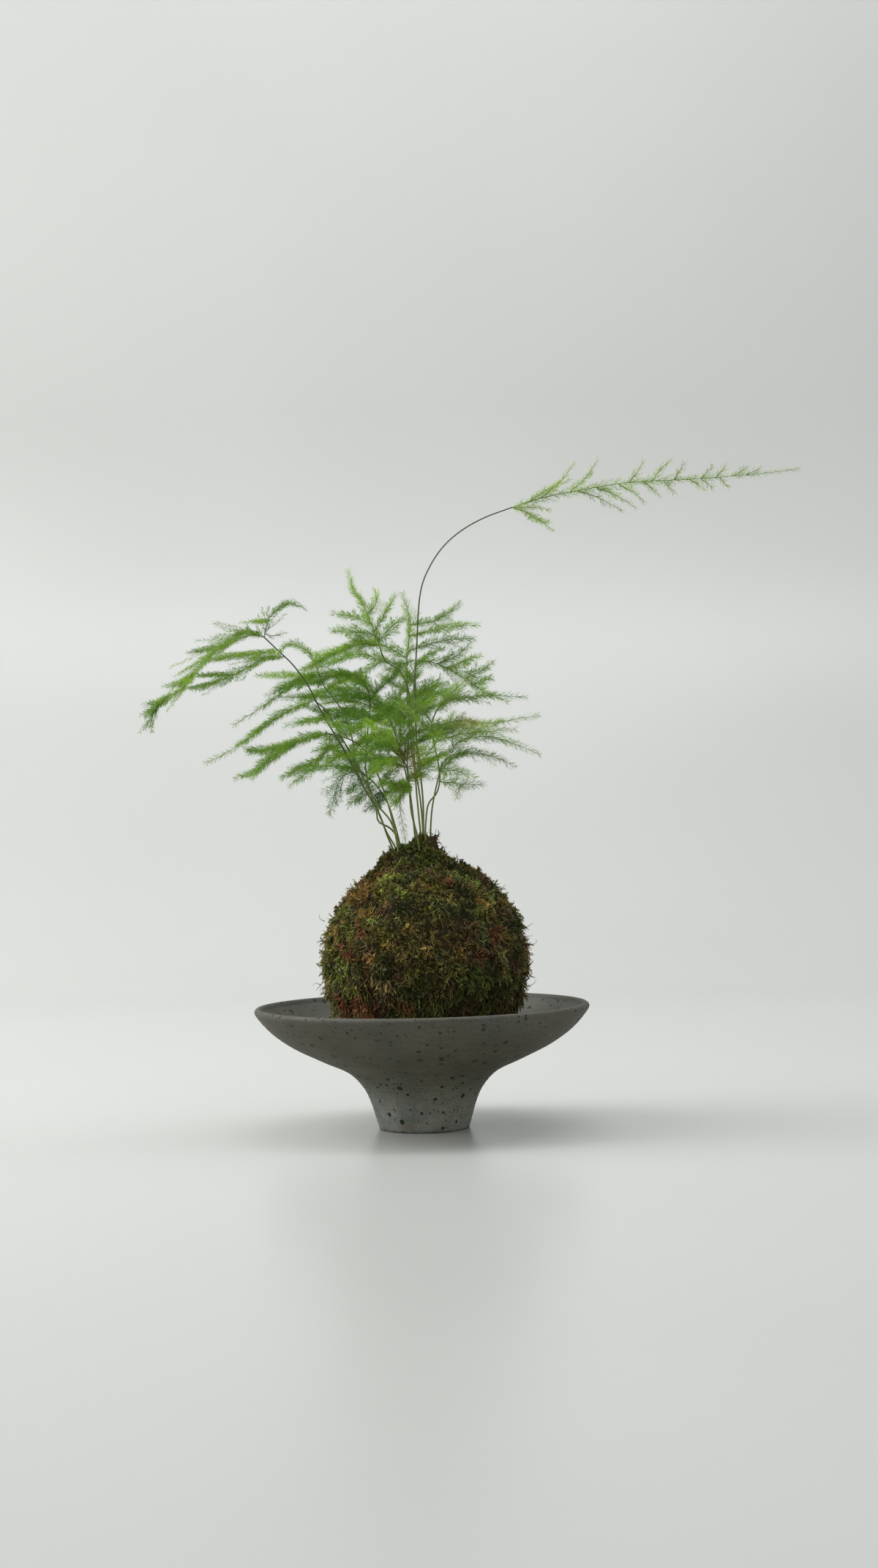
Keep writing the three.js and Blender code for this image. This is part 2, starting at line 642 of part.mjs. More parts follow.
function needleTip(frond, plan, whorl, corners, outward, random) {
  const foot = corners[0].clone().add(corners[1]).add(corners[2]).divideScalar(3);
  const tangent = plan.frames[whorl].tangent;
  const across = new THREE.Vector3().crossVectors(tangent, outward);
  const length = (frond.needle ?? NEEDLE_LENGTH) * random(0.88, 1.08);
  for (let attempt = 0; attempt < NEEDLE_TRIES; attempt += 1) {
    const effort = 1 + attempt / 2;
    const sway = NEEDLE_SWAY * random(-1, 1) * effort;
    const lean = NEEDLE_LEAN + NEEDLE_LEAN_SPREAD * random(-1, 1) * effort;
    const direction = outward.clone().addScaledVector(tangent, lean).addScaledVector(across, sway);
    const tip = foot.clone().addScaledVector(direction.normalize(), length);
    const place = { frond: frond.name, spray: plan.spray, whorl };
    const candidate = { from: foot, to: tip, radius: NEEDLE_RADIUS, length, ...place };
    if (isClear(candidate)) {
      taken.push(candidate);
      return tip;
    }
  }
  return null;
}

function spraySolid(frond, plan, random) {
  const points = plan.frames.flatMap((frame, index) => (
    ringPoints(frame, index === 0 ? ROOT_RADIUS * random(0.7, 1.1) : SPRAY_RADIUS, SPRAY_SIDES)
  ));
  const faces = [[0, 2, 1]];
  for (let ring = 0; ring < plan.frames.length - 1; ring += 1) {
    const start = ring * SPRAY_SIDES;
    const isBand = ring % 2 === 1;
    for (let side = 0; side < SPRAY_SIDES; side += 1) {
      const next = (side + 1) % SPRAY_SIDES;
      const flat = [start + side, start + SPRAY_SIDES + next, start + SPRAY_SIDES + side];
      const raised = [start + side, start + next, start + SPRAY_SIDES + next];
      const corners = raised.map((index) => points[index]);
      const outward = points[start + side].clone().add(points[start + next]).divideScalar(2)
        .sub(plan.frames[ring].centre).normalize();
      const tip = isBand && needleTip(frond, plan, ring, corners, outward, random);
      faces.push(flat);
      if (tip) {
        const apex = points.push(tip) - 1;
        faces.push([raised[0], raised[1], apex], [raised[1], raised[2], apex], [raised[2], raised[0], apex]);
      } else {
        faces.push(raised);
      }
    }
  }
  const last = (plan.frames.length - 1) * SPRAY_SIDES;
  const end = points.push(plan.tip) - 1;
  for (let side = 0; side < SPRAY_SIDES; side += 1) {
    faces.push([last + side, last + ((side + 1) % SPRAY_SIDES), end]);
  }
  return solidOf(closedGeometry(points, faces));
}

function frondSolid(frond, plan, seed) {
  const random = seededRandom(seed);
  const stem = tubeSolid(plan.stem.frames, plan.stem.radii, STEM_SIDES);
  const sprays = plan.sprays.map((spray) => spraySolid(frond, spray, random));
  return largestPiece(sprays.reduce((whole, spray) => whole.add(spray), stem));
}

function hasDistinctCorners(solid) {
  const geometry = meshOf('', solid, null).geometry;
  geometry.deleteAttribute('normal');
  const corners = geometry.attributes.position.count;
  return mergeVertices(geometry, CORNER_GAP).attributes.position.count === corners;
}

// Roots and needles are drawn again where joining them leaves two corners almost in one place

function grownFrond(frond, plan, seed) {
  const planned = taken.length;
  for (let draw = 0; draw < MOST_DRAWS; draw += 1) {
    taken.length = planned;
    const solid = frondSolid(frond, plan, seed + draw);
    if (hasDistinctCorners(solid)) {
      return solid;
    }
  }
  throw new Error(`${frond.name} has corners too close together in every draw`);
}

// A plain hole round the buried part of a stem, a little deeper than the stem's end

function stemHole(stem) {
  const frames = stem.frames.slice(0, BURIED_RINGS).map((frame) => ({ ...frame }));
  frames[0].centre = frames[0].centre.clone().addScaledVector(frames[0].tangent, -FIT_GAP);
  const radii = frames.map((_, index) => stem.radii[index] + FIT_GAP);
  return tubeSolid(frames, radii, STEM_SIDES);
}

// Assembly

const plans = FRONDS.map((frond) => ({
  stem: planStem(frond),
  sprays: frond.sprays.map((points, index) => planSpray(frond, points, index)),
}));
const holes = plans.map((plan) => stemHole(plan.stem)).reduce((whole, hole) => whole.add(hole));

const mossGreen = new THREE.MeshStandardMaterial({ color: '#4d5226', roughness: 1, metalness: 0 });
const soilBrown = new THREE.MeshStandardMaterial({ color: '#33261a', roughness: 1, metalness: 0 });

const plant = new THREE.Group();
plant.add(dishMesh());
const moss = largestPiece(mossSolid().subtract(soilSolid(FIT_GAP)).subtract(holes));
const soil = largestPiece(soilSolid(0).subtract(holes));
plant.add(meshOf('moss_skin', moss, mossGreen));
plant.add(meshOf('soil_and_roots', soil, soilBrown));
FRONDS.forEach((frond, index) => {
  const leafGreen = new THREE.MeshStandardMaterial({ color: '#5b8a2e', roughness: 0.7, metalness: 0 });
  plant.add(meshOf(frond.name, grownFrond(frond, plans[index], 100 * (index + 1)), leafGreen));
});

export default plant;
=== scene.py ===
import math

import bmesh
import bpy
import numpy as np
from mathutils import Matrix, Vector, noise


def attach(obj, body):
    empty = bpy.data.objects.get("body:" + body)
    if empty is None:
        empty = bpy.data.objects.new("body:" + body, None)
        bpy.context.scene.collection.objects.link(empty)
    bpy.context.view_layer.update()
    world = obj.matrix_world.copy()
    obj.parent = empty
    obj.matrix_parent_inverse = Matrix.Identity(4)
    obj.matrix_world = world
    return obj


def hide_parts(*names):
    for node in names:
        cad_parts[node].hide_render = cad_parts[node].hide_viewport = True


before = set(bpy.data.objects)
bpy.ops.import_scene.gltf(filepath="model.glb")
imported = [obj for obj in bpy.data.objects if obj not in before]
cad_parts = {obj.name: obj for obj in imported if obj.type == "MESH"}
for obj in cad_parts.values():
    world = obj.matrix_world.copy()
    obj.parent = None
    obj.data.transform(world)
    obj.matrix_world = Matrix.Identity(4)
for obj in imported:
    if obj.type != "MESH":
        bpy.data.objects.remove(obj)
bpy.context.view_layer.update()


# Footed dish.
# Hand-thrown stoneware, turned on the wheel in one wall from the foot over the round lip and down
# into the well, and fired without glaze: dark warm grey, with grog and iron specks open in the skin.

MM = 0.001
# The dish's half section in millimetres: how far out from its axis, and how high
FOOT_UNDERSIDE = [(0.01, 0), (14, 0), (22, 0)]
DISH_OUTSIDE = [
    (26, 6.5), (28, 13), (31.8, 21.5), (39.5, 30), (55.3, 37.7), (71, 45.7), (82.3, 54.2),
]
DISH_INSIDE = [(77.5, 56.4), (66, 48.6), (52, 42), (38, 37.2), (29, 36), (22.2, 36)]
DISH_WELL = [(21, 34.5), (18, 17), (14, 10), (6, 9)]
WELL_MIDDLE = [(0.01, 9)]
FOOT_RADIUS = 24.3
FOOT_BEVEL = 0.8
LIP_CENTRE = (88, 64.2)
LIP_RADIUS = 2
LIP_TURN = (-20, 165)
WALL_STEP = 1.3
DISH_TURNS = 160
# Rings that the fingers left, 3.4 mm apart, and how far the wall strays from round above its steady foot
THROWING_RING = 3.4
THROWING_DEPTH = 0.07
HAND_WOBBLE = 0.22
WOBBLES_ROUND = 1.3
WOBBLE_HEIGHT = 60
STEADY_HEIGHT = 20
# The fired clay, with painted light: up the outside by height in millimetres, on the lip, and inside. The
# dark ring at the very foot is painted contact shadow, and the pale foot above it is partly the clay's own
# blue grey and partly painted light thrown up from the floor
DISH_TONES_WITH_PAINTED_LIGHT = {
    "outside": [
        (0, "#35342e"), (0.8, "#5c5d54"), (1.8, "#777b75"), (14, "#73766e"),
        (27, "#5f5f52"), (40, "#4c4a3c"), (56, "#4b493d"), (64, "#4c4b42"),
    ],
    "lip": "#4c4b43",
    "inside": "#58574f",
}


def smooth_path(points, step):
    """Points a step apart on a centripetal Catmull-Rom curve through the given ones."""
    path = [np.array(point, float) for point in points]
    path = [2 * path[0] - path[1], *path, 2 * path[-1] - path[-2]]
    placed = []
    for ends in zip(path, path[1:], path[2:], path[3:]):
        knots = [0]
        for start, end in zip(ends, ends[1:]):
            knots.append(knots[-1] + math.sqrt(np.linalg.norm(end - start)))
        count = max(2, round(np.linalg.norm(ends[2] - ends[1]) / (0.25 * step)))
        t = np.linspace(knots[1], knots[2], count, endpoint=False)[:, None]
        blends = ends
        for spans in (((0, 1), (1, 2), (2, 3)), ((0, 2), (1, 3)), ((1, 2),)):
            blends = [
                (knots[b] - t) / (knots[b] - knots[a]) * left + (t - knots[a]) / (knots[b] - knots[a]) * right
                for (a, b), left, right in zip(spans, blends, blends[1:])]
        placed.append(blends[0])
    dense = np.vstack([*placed, path[-2][None]])
    along = np.concatenate([[0], np.cumsum(np.linalg.norm(np.diff(dense, axis=0), axis=1))])
    even = np.linspace(0, along[-1], max(2, round(along[-1] / step) + 1))
    return np.column_stack([np.interp(even, along, column) for column in dense.T])


def linear(hex_colour):
    """An sRGB hex colour as linear red, green and blue with full alpha."""
    shares = [int(hex_colour[place:place + 2], 16) / 255 for place in (1, 3, 5)]
    return (*[s / 12.92 if s <= 0.04045 else ((s + 0.055) / 1.055) ** 2.4 for s in shares], 1)


def add_node(tree, kind, sockets=None, stops=(), **settings):
    """Adds a node with its settings, ramp stops, socket values and links."""
    added = tree.nodes.new(kind)
    for name, value in settings.items():
        setattr(added, name, value)
    for place, (position, colour) in enumerate(stops):
        elements = added.color_ramp.elements
        element = elements[place] if place < 2 else elements.new(position)
        element.position = position
        element.color = colour
    for socket, value in (sockets or {}).items():
        if isinstance(value, bpy.types.NodeSocket):
            tree.links.new(value, added.inputs[socket])
        else:
            added.inputs[socket].default_value = value
    return added


def new_material(name):
    """A new material, its empty node tree, and the place on the object that its patterns follow."""
    material = bpy.data.materials.new(name)
    material.use_nodes = True
    tree = material.node_tree
    tree.nodes.clear()
    return material, tree, add_node(tree, "ShaderNodeTexCoord").outputs["Object"]


def finish_material(tree, shader):
    add_node(tree, "ShaderNodeOutputMaterial", {"Surface": shader.outputs[0]})


def mottled(tree, colour, pattern, spread, tones):
    """The colour made darker and lighter: the pattern's values over the spread give the tones."""
    tone = add_node(tree, "ShaderNodeMapRange", {
        "Value": pattern.outputs[0], "From Min": spread[0], "From Max": spread[1],
        "To Min": tones[0], "To Max": tones[1]})
    return add_node(tree, "ShaderNodeMix", {
        0: 1.0, 6: colour, 7: tone.outputs[0]}, data_type="RGBA", blend_type="MULTIPLY").outputs[2]


def new_piece(name, corners, faces, material, smooth=True):
    """A mesh in metres from corners in millimetres, riding on the part's one body."""
    mesh = bpy.data.meshes.new(name)
    corners = np.asarray(corners, np.float32) * MM
    faces = np.asarray(faces, np.int32)
    sides = faces.shape[1]
    mesh.vertices.add(len(corners))
    mesh.vertices.foreach_set("co", corners.ravel())
    mesh.loops.add(faces.size)
    mesh.loops.foreach_set("vertex_index", faces.ravel())
    mesh.polygons.add(len(faces))
    mesh.polygons.foreach_set("loop_start", np.arange(0, faces.size, sides, dtype=np.int32))
    mesh.polygons.foreach_set("use_smooth", np.full(len(faces), smooth))
    mesh.update(calc_edges=True)
    mesh.materials.append(material)
    piece = bpy.data.objects.new(name, mesh)
    bpy.context.scene.collection.objects.link(piece)
    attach(piece, "root")
    return piece


def paint(piece, name, colours):
    """Gives each corner of the mesh a linear colour that its material reads."""
    attribute = piece.data.color_attributes.new(name, "FLOAT_COLOR", "POINT")
    rgba = np.ones((len(colours), 4), np.float32)
    rgba[:, :3] = colours
    attribute.data.foreach_set("color", rgba.ravel())


def grid_faces(rows, columns):
    """Quads between rows of points, closed round each row."""
    row, column = np.meshgrid(np.arange(rows - 1), np.arange(columns), indexing="ij")
    following = (column + 1) % columns
    low, high = row * columns, (row + 1) * columns
    return np.stack([low + column, low + following, high + following, high + column], -1).reshape(-1, 4)


lip = [
    (LIP_CENTRE[0] + LIP_RADIUS * math.cos(angle), LIP_CENTRE[1] + LIP_RADIUS * math.sin(angle))
    for angle in np.radians(np.linspace(*LIP_TURN, 9))
]
foot_edge = [
    (FOOT_RADIUS - FOOT_BEVEL, 0),
    (FOOT_RADIUS - 0.3 * FOOT_BEVEL, 0.25 * FOOT_BEVEL),
    (FOOT_RADIUS, FOOT_BEVEL),
]
wall = smooth_path([foot_edge[-1], *DISH_OUTSIDE, *lip, *DISH_INSIDE], WALL_STEP)
well = smooth_path([DISH_INSIDE[-1], *DISH_WELL], WALL_STEP)[1:]
profile = np.vstack([FOOT_UNDERSIDE, foot_edge[:-1], wall, well, WELL_MIDDLE])
along_wall = np.concatenate([[0], np.cumsum(np.linalg.norm(np.diff(profile, axis=0), axis=1))])
dish_corners = []
for (radius, height), distance in zip(profile, along_wall):
    turned = radius > FOOT_RADIUS + 0.5
    ring = THROWING_DEPTH * math.sin(2 * math.pi * distance / THROWING_RING) if turned else 0
    for turn in range(DISH_TURNS):
        angle = 2 * math.pi * turn / DISH_TURNS
        about = WOBBLES_ROUND * Vector((math.cos(angle), math.sin(angle), height / WOBBLE_HEIGHT))
        steady = min(1, max(0, height) / STEADY_HEIGHT)
        wobble = HAND_WOBBLE * noise.noise(about) * steady if turned else 0
        reach = radius + ring - abs(wobble)
        dish_corners.append((reach * math.cos(angle), reach * math.sin(angle), height))

# Unglazed stoneware is dry and matt: it has no highlight and only brightens softly towards the light.
stoneware, tree, place = new_material("unglazed_speckled_stoneware")
# The painted tone carries the painted contact shadow and the painted floor light on the foot
clay = add_node(tree, "ShaderNodeVertexColor", layer_name="clay_tone_with_painted_light").outputs[0]
# Clouding from the kiln, 25 mm across, wheel marks 1 mm high and 14 mm long, and grit, 0.9 mm.
clouds = add_node(tree, "ShaderNodeTexNoise", {
    "Vector": place, "Scale": 1 / (25 * MM), "Detail": 4.0, "Roughness": 0.6})
level = add_node(tree, "ShaderNodeMapping", {"Vector": place, "Scale": (1, 1, 14)})
wheel_marks = add_node(tree, "ShaderNodeTexNoise", {
    "Vector": level.outputs[0], "Scale": 1 / (14 * MM), "Detail": 4.0, "Roughness": 0.7})
grit = add_node(tree, "ShaderNodeTexNoise", {
    "Vector": place, "Scale": 1 / (0.9 * MM), "Detail": 4.0, "Roughness": 0.75})
for pattern, spread, tones in (
        (clouds, (0.3, 0.7), (0.84, 1.28)),
        (wheel_marks, (0.35, 0.65), (0.88, 1.12)),
        (grit, (0.32, 0.68), (0.62, 1.38))):
    clay = mottled(tree, clay, pattern, spread, tones)
# The fire left drifts 40 mm wide, some a trace bluer and some a trace redder.
firing = add_node(tree, "ShaderNodeTexNoise", {
    "Vector": place, "Scale": 1 / (40 * MM), "Detail": 5.0, "Roughness": 0.65})
firing_tint = add_node(tree, "ShaderNodeValToRGB", {"Fac": firing.outputs[0]}, stops=[
    (0.4, linear("#f7fcfc")), (0.62, linear("#fff8ec"))])
clay_fired = add_node(tree, "ShaderNodeMix", {
    0: 1.0, 6: clay, 7: firing_tint.outputs[0]}, data_type="RGBA", blend_type="MULTIPLY")
# Iron specks burnt out of the clay: some 2 mm across, more of 1 mm, and a dust of 0.5 mm. Their
# outlines are bent by up to 1.2 mm, so that none is round.
wavy = add_node(tree, "ShaderNodeTexNoise", {"Vector": place, "Scale": 1 / (2.2 * MM), "Detail": 2.0})
bent = add_node(tree, "ShaderNodeMix", {
    0: 1.2 * MM, 6: place, 7: wavy.outputs["Color"]}, data_type="RGBA", blend_type="ADD")
pits = []
for spacing, size, share in ((5.5, 1.7, 0.24), (3.6, 1.0, 0.26), (2.1, 0.55, 0.34)):
    cells = add_node(tree, "ShaderNodeTexVoronoi", {
        "Vector": bent.outputs[2], "Scale": 1 / (spacing * MM), "Randomness": 1.0})
    chance = add_node(tree, "ShaderNodeSeparateColor", {"Color": cells.outputs["Color"]})
    reach = add_node(tree, "ShaderNodeMapRange", {
        "Value": chance.outputs[0], "From Min": 1 - share, "From Max": 1 - 0.6 * share,
        "To Min": 0.0, "To Max": size / spacing})
    pit = add_node(tree, "ShaderNodeMath", {
        0: reach.outputs[0], 1: cells.outputs["Distance"]}, operation="SUBTRACT")
    pits.append(add_node(tree, "ShaderNodeMapRange", {
        "Value": pit.outputs[0], "From Min": 0.0, "From Max": 0.05}).outputs[0])
specks = pits[0]
for pit in pits[1:]:
    specks = add_node(tree, "ShaderNodeMath", {0: specks, 1: pit}, operation="MAXIMUM").outputs[0]
# The foot is rubbed pale and finely scratched where it is set down.
above_foot = add_node(tree, "ShaderNodeSeparateXYZ", {0: place})
low_down = add_node(tree, "ShaderNodeMapRange", {
    "Value": above_foot.outputs["Z"], "From Min": 24 * MM, "From Max": 3 * MM})
rubbing = add_node(tree, "ShaderNodeTexNoise", {
    "Vector": place, "Scale": 1 / (7 * MM), "Detail": 3.0, "Roughness": 0.6})
rubbed = add_node(tree, "ShaderNodeMapRange", {
    "Value": rubbing.outputs[0], "From Min": 0.42, "From Max": 0.62, "To Min": 0.1, "To Max": 0.6})
scratch_lines = add_node(tree, "ShaderNodeTexNoise", {
    "Vector": place, "Scale": 1 / (5 * MM), "Detail": 2.0})
scratched = add_node(tree, "ShaderNodeMath", {
    0: scratch_lines.outputs[0], 1: 0.5, 2: 0.008}, operation="COMPARE")
worn_or_scratched = add_node(tree, "ShaderNodeMath", {
    0: scratched.outputs[0], 1: 0.5, 2: 0.35}, operation="MULTIPLY_ADD")
worn = low_down.outputs[0]
for share in (rubbed, worn_or_scratched):
    worn = add_node(tree, "ShaderNodeMath", {0: worn, 1: share.outputs[0]}, operation="MULTIPLY").outputs[0]
# A fleck of paler, rusty clay low on the front of the foot.
fleck_gap = add_node(tree, "ShaderNodeVectorMath", {
    0: bent.outputs[2], 1: (-6.4 * MM, -23.8 * MM, 4.2 * MM)}, operation="DISTANCE")
fleck = add_node(tree, "ShaderNodeMapRange", {
    "Value": fleck_gap.outputs["Value"], "From Min": 3.2 * MM, "From Max": 1.2 * MM})
fleck_broken = add_node(tree, "ShaderNodeMath", {
    0: fleck.outputs[0], 1: grit.outputs[0]}, operation="MULTIPLY")
# Over the fired clay lie the worn patches, the specks and the fleck, each with its share and colour.
stone_colour = clay_fired.outputs[2]
for share, colour in ((worn, "#b4b8ac"), (specks, "#1f1e1c"), (fleck_broken.outputs[0], "#8a6e5f")):
    stone_colour = add_node(tree, "ShaderNodeMix", {
        0: share, 6: stone_colour, 7: linear(colour)}, data_type="RGBA").outputs[2]
fired_skin = add_node(tree, "ShaderNodeMapRange", {
    "Value": grit.outputs[0], "From Min": 0.3, "From Max": 0.7, "To Min": 0.55, "To Max": 0.8})
relief = add_node(tree, "ShaderNodeMath", {0: grit.outputs[0], 1: specks}, operation="SUBTRACT")
rough_relief = add_node(tree, "ShaderNodeBump", {
    "Height": relief.outputs[0], "Strength": 0.45, "Distance": 0.12 * MM})
shader = add_node(tree, "ShaderNodeBsdfPrincipled", {
    "Base Color": stone_colour, "Roughness": fired_skin.outputs[0],
    "IOR": 1.5, "Normal": rough_relief.outputs[0]})
finish_material(tree, shader)

dish = new_piece("dish_thrown", dish_corners, grid_faces(len(profile), DISH_TURNS), stoneware)
# Up the outside: a thin dark ring of painted contact shadow where the foot stands, then a pale blue grey
# foot, partly the clay's own tone and partly painted light from the floor, and the flare darker and warmer;
# lip and inside are paler again.
lip_top = int(np.argmax(profile[:, 1]))
tones = []
for index, (radius, height) in enumerate(profile):
    if index > lip_top + 3:
        tone = DISH_TONES_WITH_PAINTED_LIGHT["inside"]
    elif index > lip_top - 4:
        tone = DISH_TONES_WITH_PAINTED_LIGHT["lip"]
    else:
        heights, ramp = zip(*DISH_TONES_WITH_PAINTED_LIGHT["outside"])
        channels = zip(*[linear(colour)[:3] for colour in ramp])
        tone = [np.interp(height, heights, channel) for channel in channels]
    tones.append(linear(tone)[:3] if isinstance(tone, str) else tone)
paint(dish, "clay_tone_with_painted_light", np.repeat(np.array(tones), DISH_TURNS, axis=0))
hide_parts("dish")


# Soil ball and roots.
# Damp peaty soil pressed round the fern's rootball, standing out of the moss as three ragged mounds
# where the stems rise. Dry, hair-thin roots knit its surface together and curl off it.

SOIL_GRAIN = 1.3
SOIL_LUMP = 0.9
MOUNDS_FROM = 143
STEEP_FROM = 141
MOUND_HEART_X = 5
MOUND_STEEPNESS = 0.3
NECK_FROM = 141.5
CRUMBS = 420
CRUMB_RADII = (0.25, 0.75)
ROOT_FIBRES = 320
ROOT_LENGTHS = (3, 8)
ROOT_RADII = (0.12, 0.24)
ROOT_CURL = 0.46
ROOT_STEP = 0.9
# Roots that stand out of the mounds and the moss by themselves: their points and their radius
LOOSE_ROOTS = [
    ([(9, -1.5, 152.5), (10.4, -2, 156), (11.2, -2.2, 157.8), (10.7, -2.3, 159.4)], 0.6),
    ([(6, -3, 153.4), (4.8, -3.4, 156.6), (4.6, -3.6, 158), (5.6, -3.8, 158.8), (6.3, -3.9, 158)], 0.28),
    ([(8.6, -3.5, 154), (7.4, -4, 156.6), (8.2, -4.2, 157.8)], 0.24),
    ([(9.8, -2.5, 152.8), (12, -3, 152.4), (12.7, -3.2, 150.8), (11.6, -3.4, 149.4)], 0.26),
    ([(18, -3, 142.4), (19.6, -3, 143.8), (20.8, -3, 145.6), (20.4, -3, 146.4)], 0.5),
    ([(55.4, -4, 105.5), (58, -4, 107), (60.6, -4, 108.6)], 0.24),
    ([(55.6, -5, 98.6), (59, -5, 97.4), (61.6, -5, 97.8), (62.4, -5, 99.2), (61.6, -5, 99.9)], 0.22),
    ([(57.4, -6, 75), (60.4, -6, 76.6), (61.6, -6, 79)], 0.2),
    ([(-51, -6, 112), (-53.6, -6, 113.6), (-54, -6, 116)], 0.2),
    ([(-53.6, -6, 78), (-56.8, -6, 79), (-58.4, -6, 77.6)], 0.2),
]

soil_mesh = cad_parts["soil_and_roots"].data.copy()
soil = bpy.data.objects.new("soil_ball", soil_mesh)
bpy.context.scene.collection.objects.link(soil)
remesh = soil.modifiers.new("even_grain", "REMESH")
remesh.mode = "VOXEL"
remesh.voxel_size = SOIL_GRAIN * MM
evaluated = soil.evaluated_get(bpy.context.evaluated_depsgraph_get())
soil.data = bpy.data.meshes.new_from_object(evaluated)
soil.modifiers.clear()
soil_places = np.array([vertex.co for vertex in soil.data.vertices]) / MM
soil_normals = np.array([vertex.normal for vertex in soil.data.vertices])
# Lumps 5 mm across with crumbs of 1.6 mm on them, both higher on the mounds
swelling = np.array([
    0.6 * noise.fractal(Vector(point) / 5, 1.0, 2.0, 3)
    + 0.5 * noise.fractal(Vector(point) / 1.6, 1.0, 2.0, 2)
    for point in soil_places])
at_top = np.clip((soil_places[:, 2:] - MOUNDS_FROM) / 8, 0, 1)
# The tallest mound rises steeply on its right, up to a ragged top
on_right = soil_places[:, 0] > MOUND_HEART_X
steep = MOUND_STEEPNESS * np.clip((soil_places[:, 2] - STEEP_FROM) / 5, 0, 1) * on_right
soil_places[:, 0] -= steep * (soil_places[:, 0] - MOUND_HEART_X)
soil_places += soil_normals * SOIL_LUMP * (1 + 2.2 * at_top) * (swelling[:, None] - 0.25)
soil.data.vertices.foreach_set("co", (soil_places * MM).astype(np.float32).ravel())
soil.data.polygons.foreach_set("use_smooth", np.full(len(soil.data.polygons), True))
soil.data.update()

# Damp peaty soil is nearly black between its crumbs and dull brown where they have dried.
peat, tree, place = new_material("damp_peaty_soil")
crumbly = add_node(tree, "ShaderNodeTexNoise", {
    "Vector": place, "Scale": 1 / (1.4 * MM), "Detail": 5.0, "Roughness": 0.7})
earth = add_node(tree, "ShaderNodeValToRGB", {"Fac": crumbly.outputs[0]}, stops=[
    (0.3, linear("#21190f")), (0.5, linear("#473a28")), (0.66, linear("#6a5a40")), (0.8, linear("#8f805e"))])
earth_relief = add_node(tree, "ShaderNodeBump", {
    "Height": crumbly.outputs[0], "Strength": 0.8, "Distance": 0.6 * MM})
shader = add_node(tree, "ShaderNodeBsdfPrincipled", {
    "Base Color": earth.outputs[0], "Roughness": 0.92, "IOR": 1.4, "Normal": earth_relief.outputs[0]})
finish_material(tree, shader)
soil.data.materials.clear()
soil.data.materials.append(peat)
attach(soil, "root")
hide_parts("soil_and_roots")


def tube(points, radii, sides):
    """Corners and triangles of a closed tube along points, its section carried without twist."""
    points = np.asarray(points, float)
    tangents = np.gradient(points, axis=0)
    tangents /= np.linalg.norm(tangents, axis=1)[:, None]
    normal = np.array([0.1, 0.2, 1])
    corners = []
    for point, tangent, radius in zip(points, tangents, radii):
        normal = normal - tangent * (normal @ tangent)
        normal /= np.linalg.norm(normal)
        side = np.cross(tangent, normal)
        for turn in range(sides):
            angle = 2 * math.pi * turn / sides
            corners.append(point + radius * (math.cos(angle) * normal + math.sin(angle) * side))
    quads = grid_faces(len(points), sides)
    faces = np.vstack([quads[:, [0, 1, 2]], quads[:, [0, 2, 3]]]).tolist()
    last = (len(points) - 1) * sides
    for turn in range(1, sides - 1):
        faces.append((0, turn + 1, turn))
        faces.append((last, last + turn, last + turn + 1))
    return np.array(corners), np.array(faces)


def join_parts(parts):
    """One list of corners and one of faces from many."""
    corners, faces, start = [], [], 0
    for part_corners, part_faces in parts:
        corners.append(part_corners)
        faces.append(part_faces + start)
        start += len(part_corners)
    return np.vstack(corners), np.vstack(faces)


def round_ball(subdivisions):
    """Corners and triangles of a ball of radius 1."""
    ball = bmesh.new()
    bmesh.ops.create_icosphere(ball, subdivisions=subdivisions, radius=1)
    corners = np.array([vertex.co for vertex in ball.verts])
    faces = np.array([[corner.index for corner in face.verts] for face in ball.faces])
    ball.free()
    return corners, faces


at_neck = (soil_places[:, 2] > NECK_FROM) & (soil_normals[:, 2] > -0.2)
neck_places, neck_normals = soil_places[at_neck], soil_normals[at_neck]
rng = np.random.default_rng(5)
lump_corners, lump_faces = round_ball(1)
crumb_parts = []
for _ in range(CRUMBS):
    seat = rng.integers(len(neck_places))
    size = rng.uniform(*CRUMB_RADII) * rng.uniform(0.6, 1.2, 3)
    rough = lump_corners * size * rng.uniform(0.75, 1.2, (len(lump_corners), 1))
    crumb_parts.append((rough + neck_places[seat] + 0.2 * neck_normals[seat], lump_faces))
crumbs = new_piece("soil_crumbs", *join_parts(crumb_parts), peat, smooth=False)

# Dry roots are matt woody threads, paler than the soil that they lie on.
dry_root, tree, place = new_material("dry_root_fibre")
bark = add_node(tree, "ShaderNodeTexNoise", {"Vector": place, "Scale": 1 / (2.5 * MM), "Detail": 3.0})
root_colour = add_node(tree, "ShaderNodeValToRGB", {"Fac": bark.outputs[0]}, stops=[
    (0.35, linear("#3f2f1c")), (0.55, linear("#745d3d")), (0.75, linear("#a38c66"))])
shader = add_node(tree, "ShaderNodeBsdfPrincipled", {
    "Base Color": root_colour.outputs[0], "Roughness": 0.8, "IOR": 1.45})
finish_material(tree, shader)


def curling_root(seat, heading, length, curl, radius, rng):
    """A thin root that leaves its seat along heading and wanders."""
    steps = max(6, round(length / ROOT_STEP))
    points = [np.array(seat, float)]
    heading = np.array(heading, float)
    turn = rng.normal(0, curl, 3)
    for _ in range(steps):
        turn = 0.75 * turn + rng.normal(0, 0.5 * curl, 3)
        heading = heading + turn
        heading /= np.linalg.norm(heading)
        points.append(points[-1] + heading * length / steps)
    return tube(points, np.linspace(radius, 0.45 * radius, len(points)), 4)


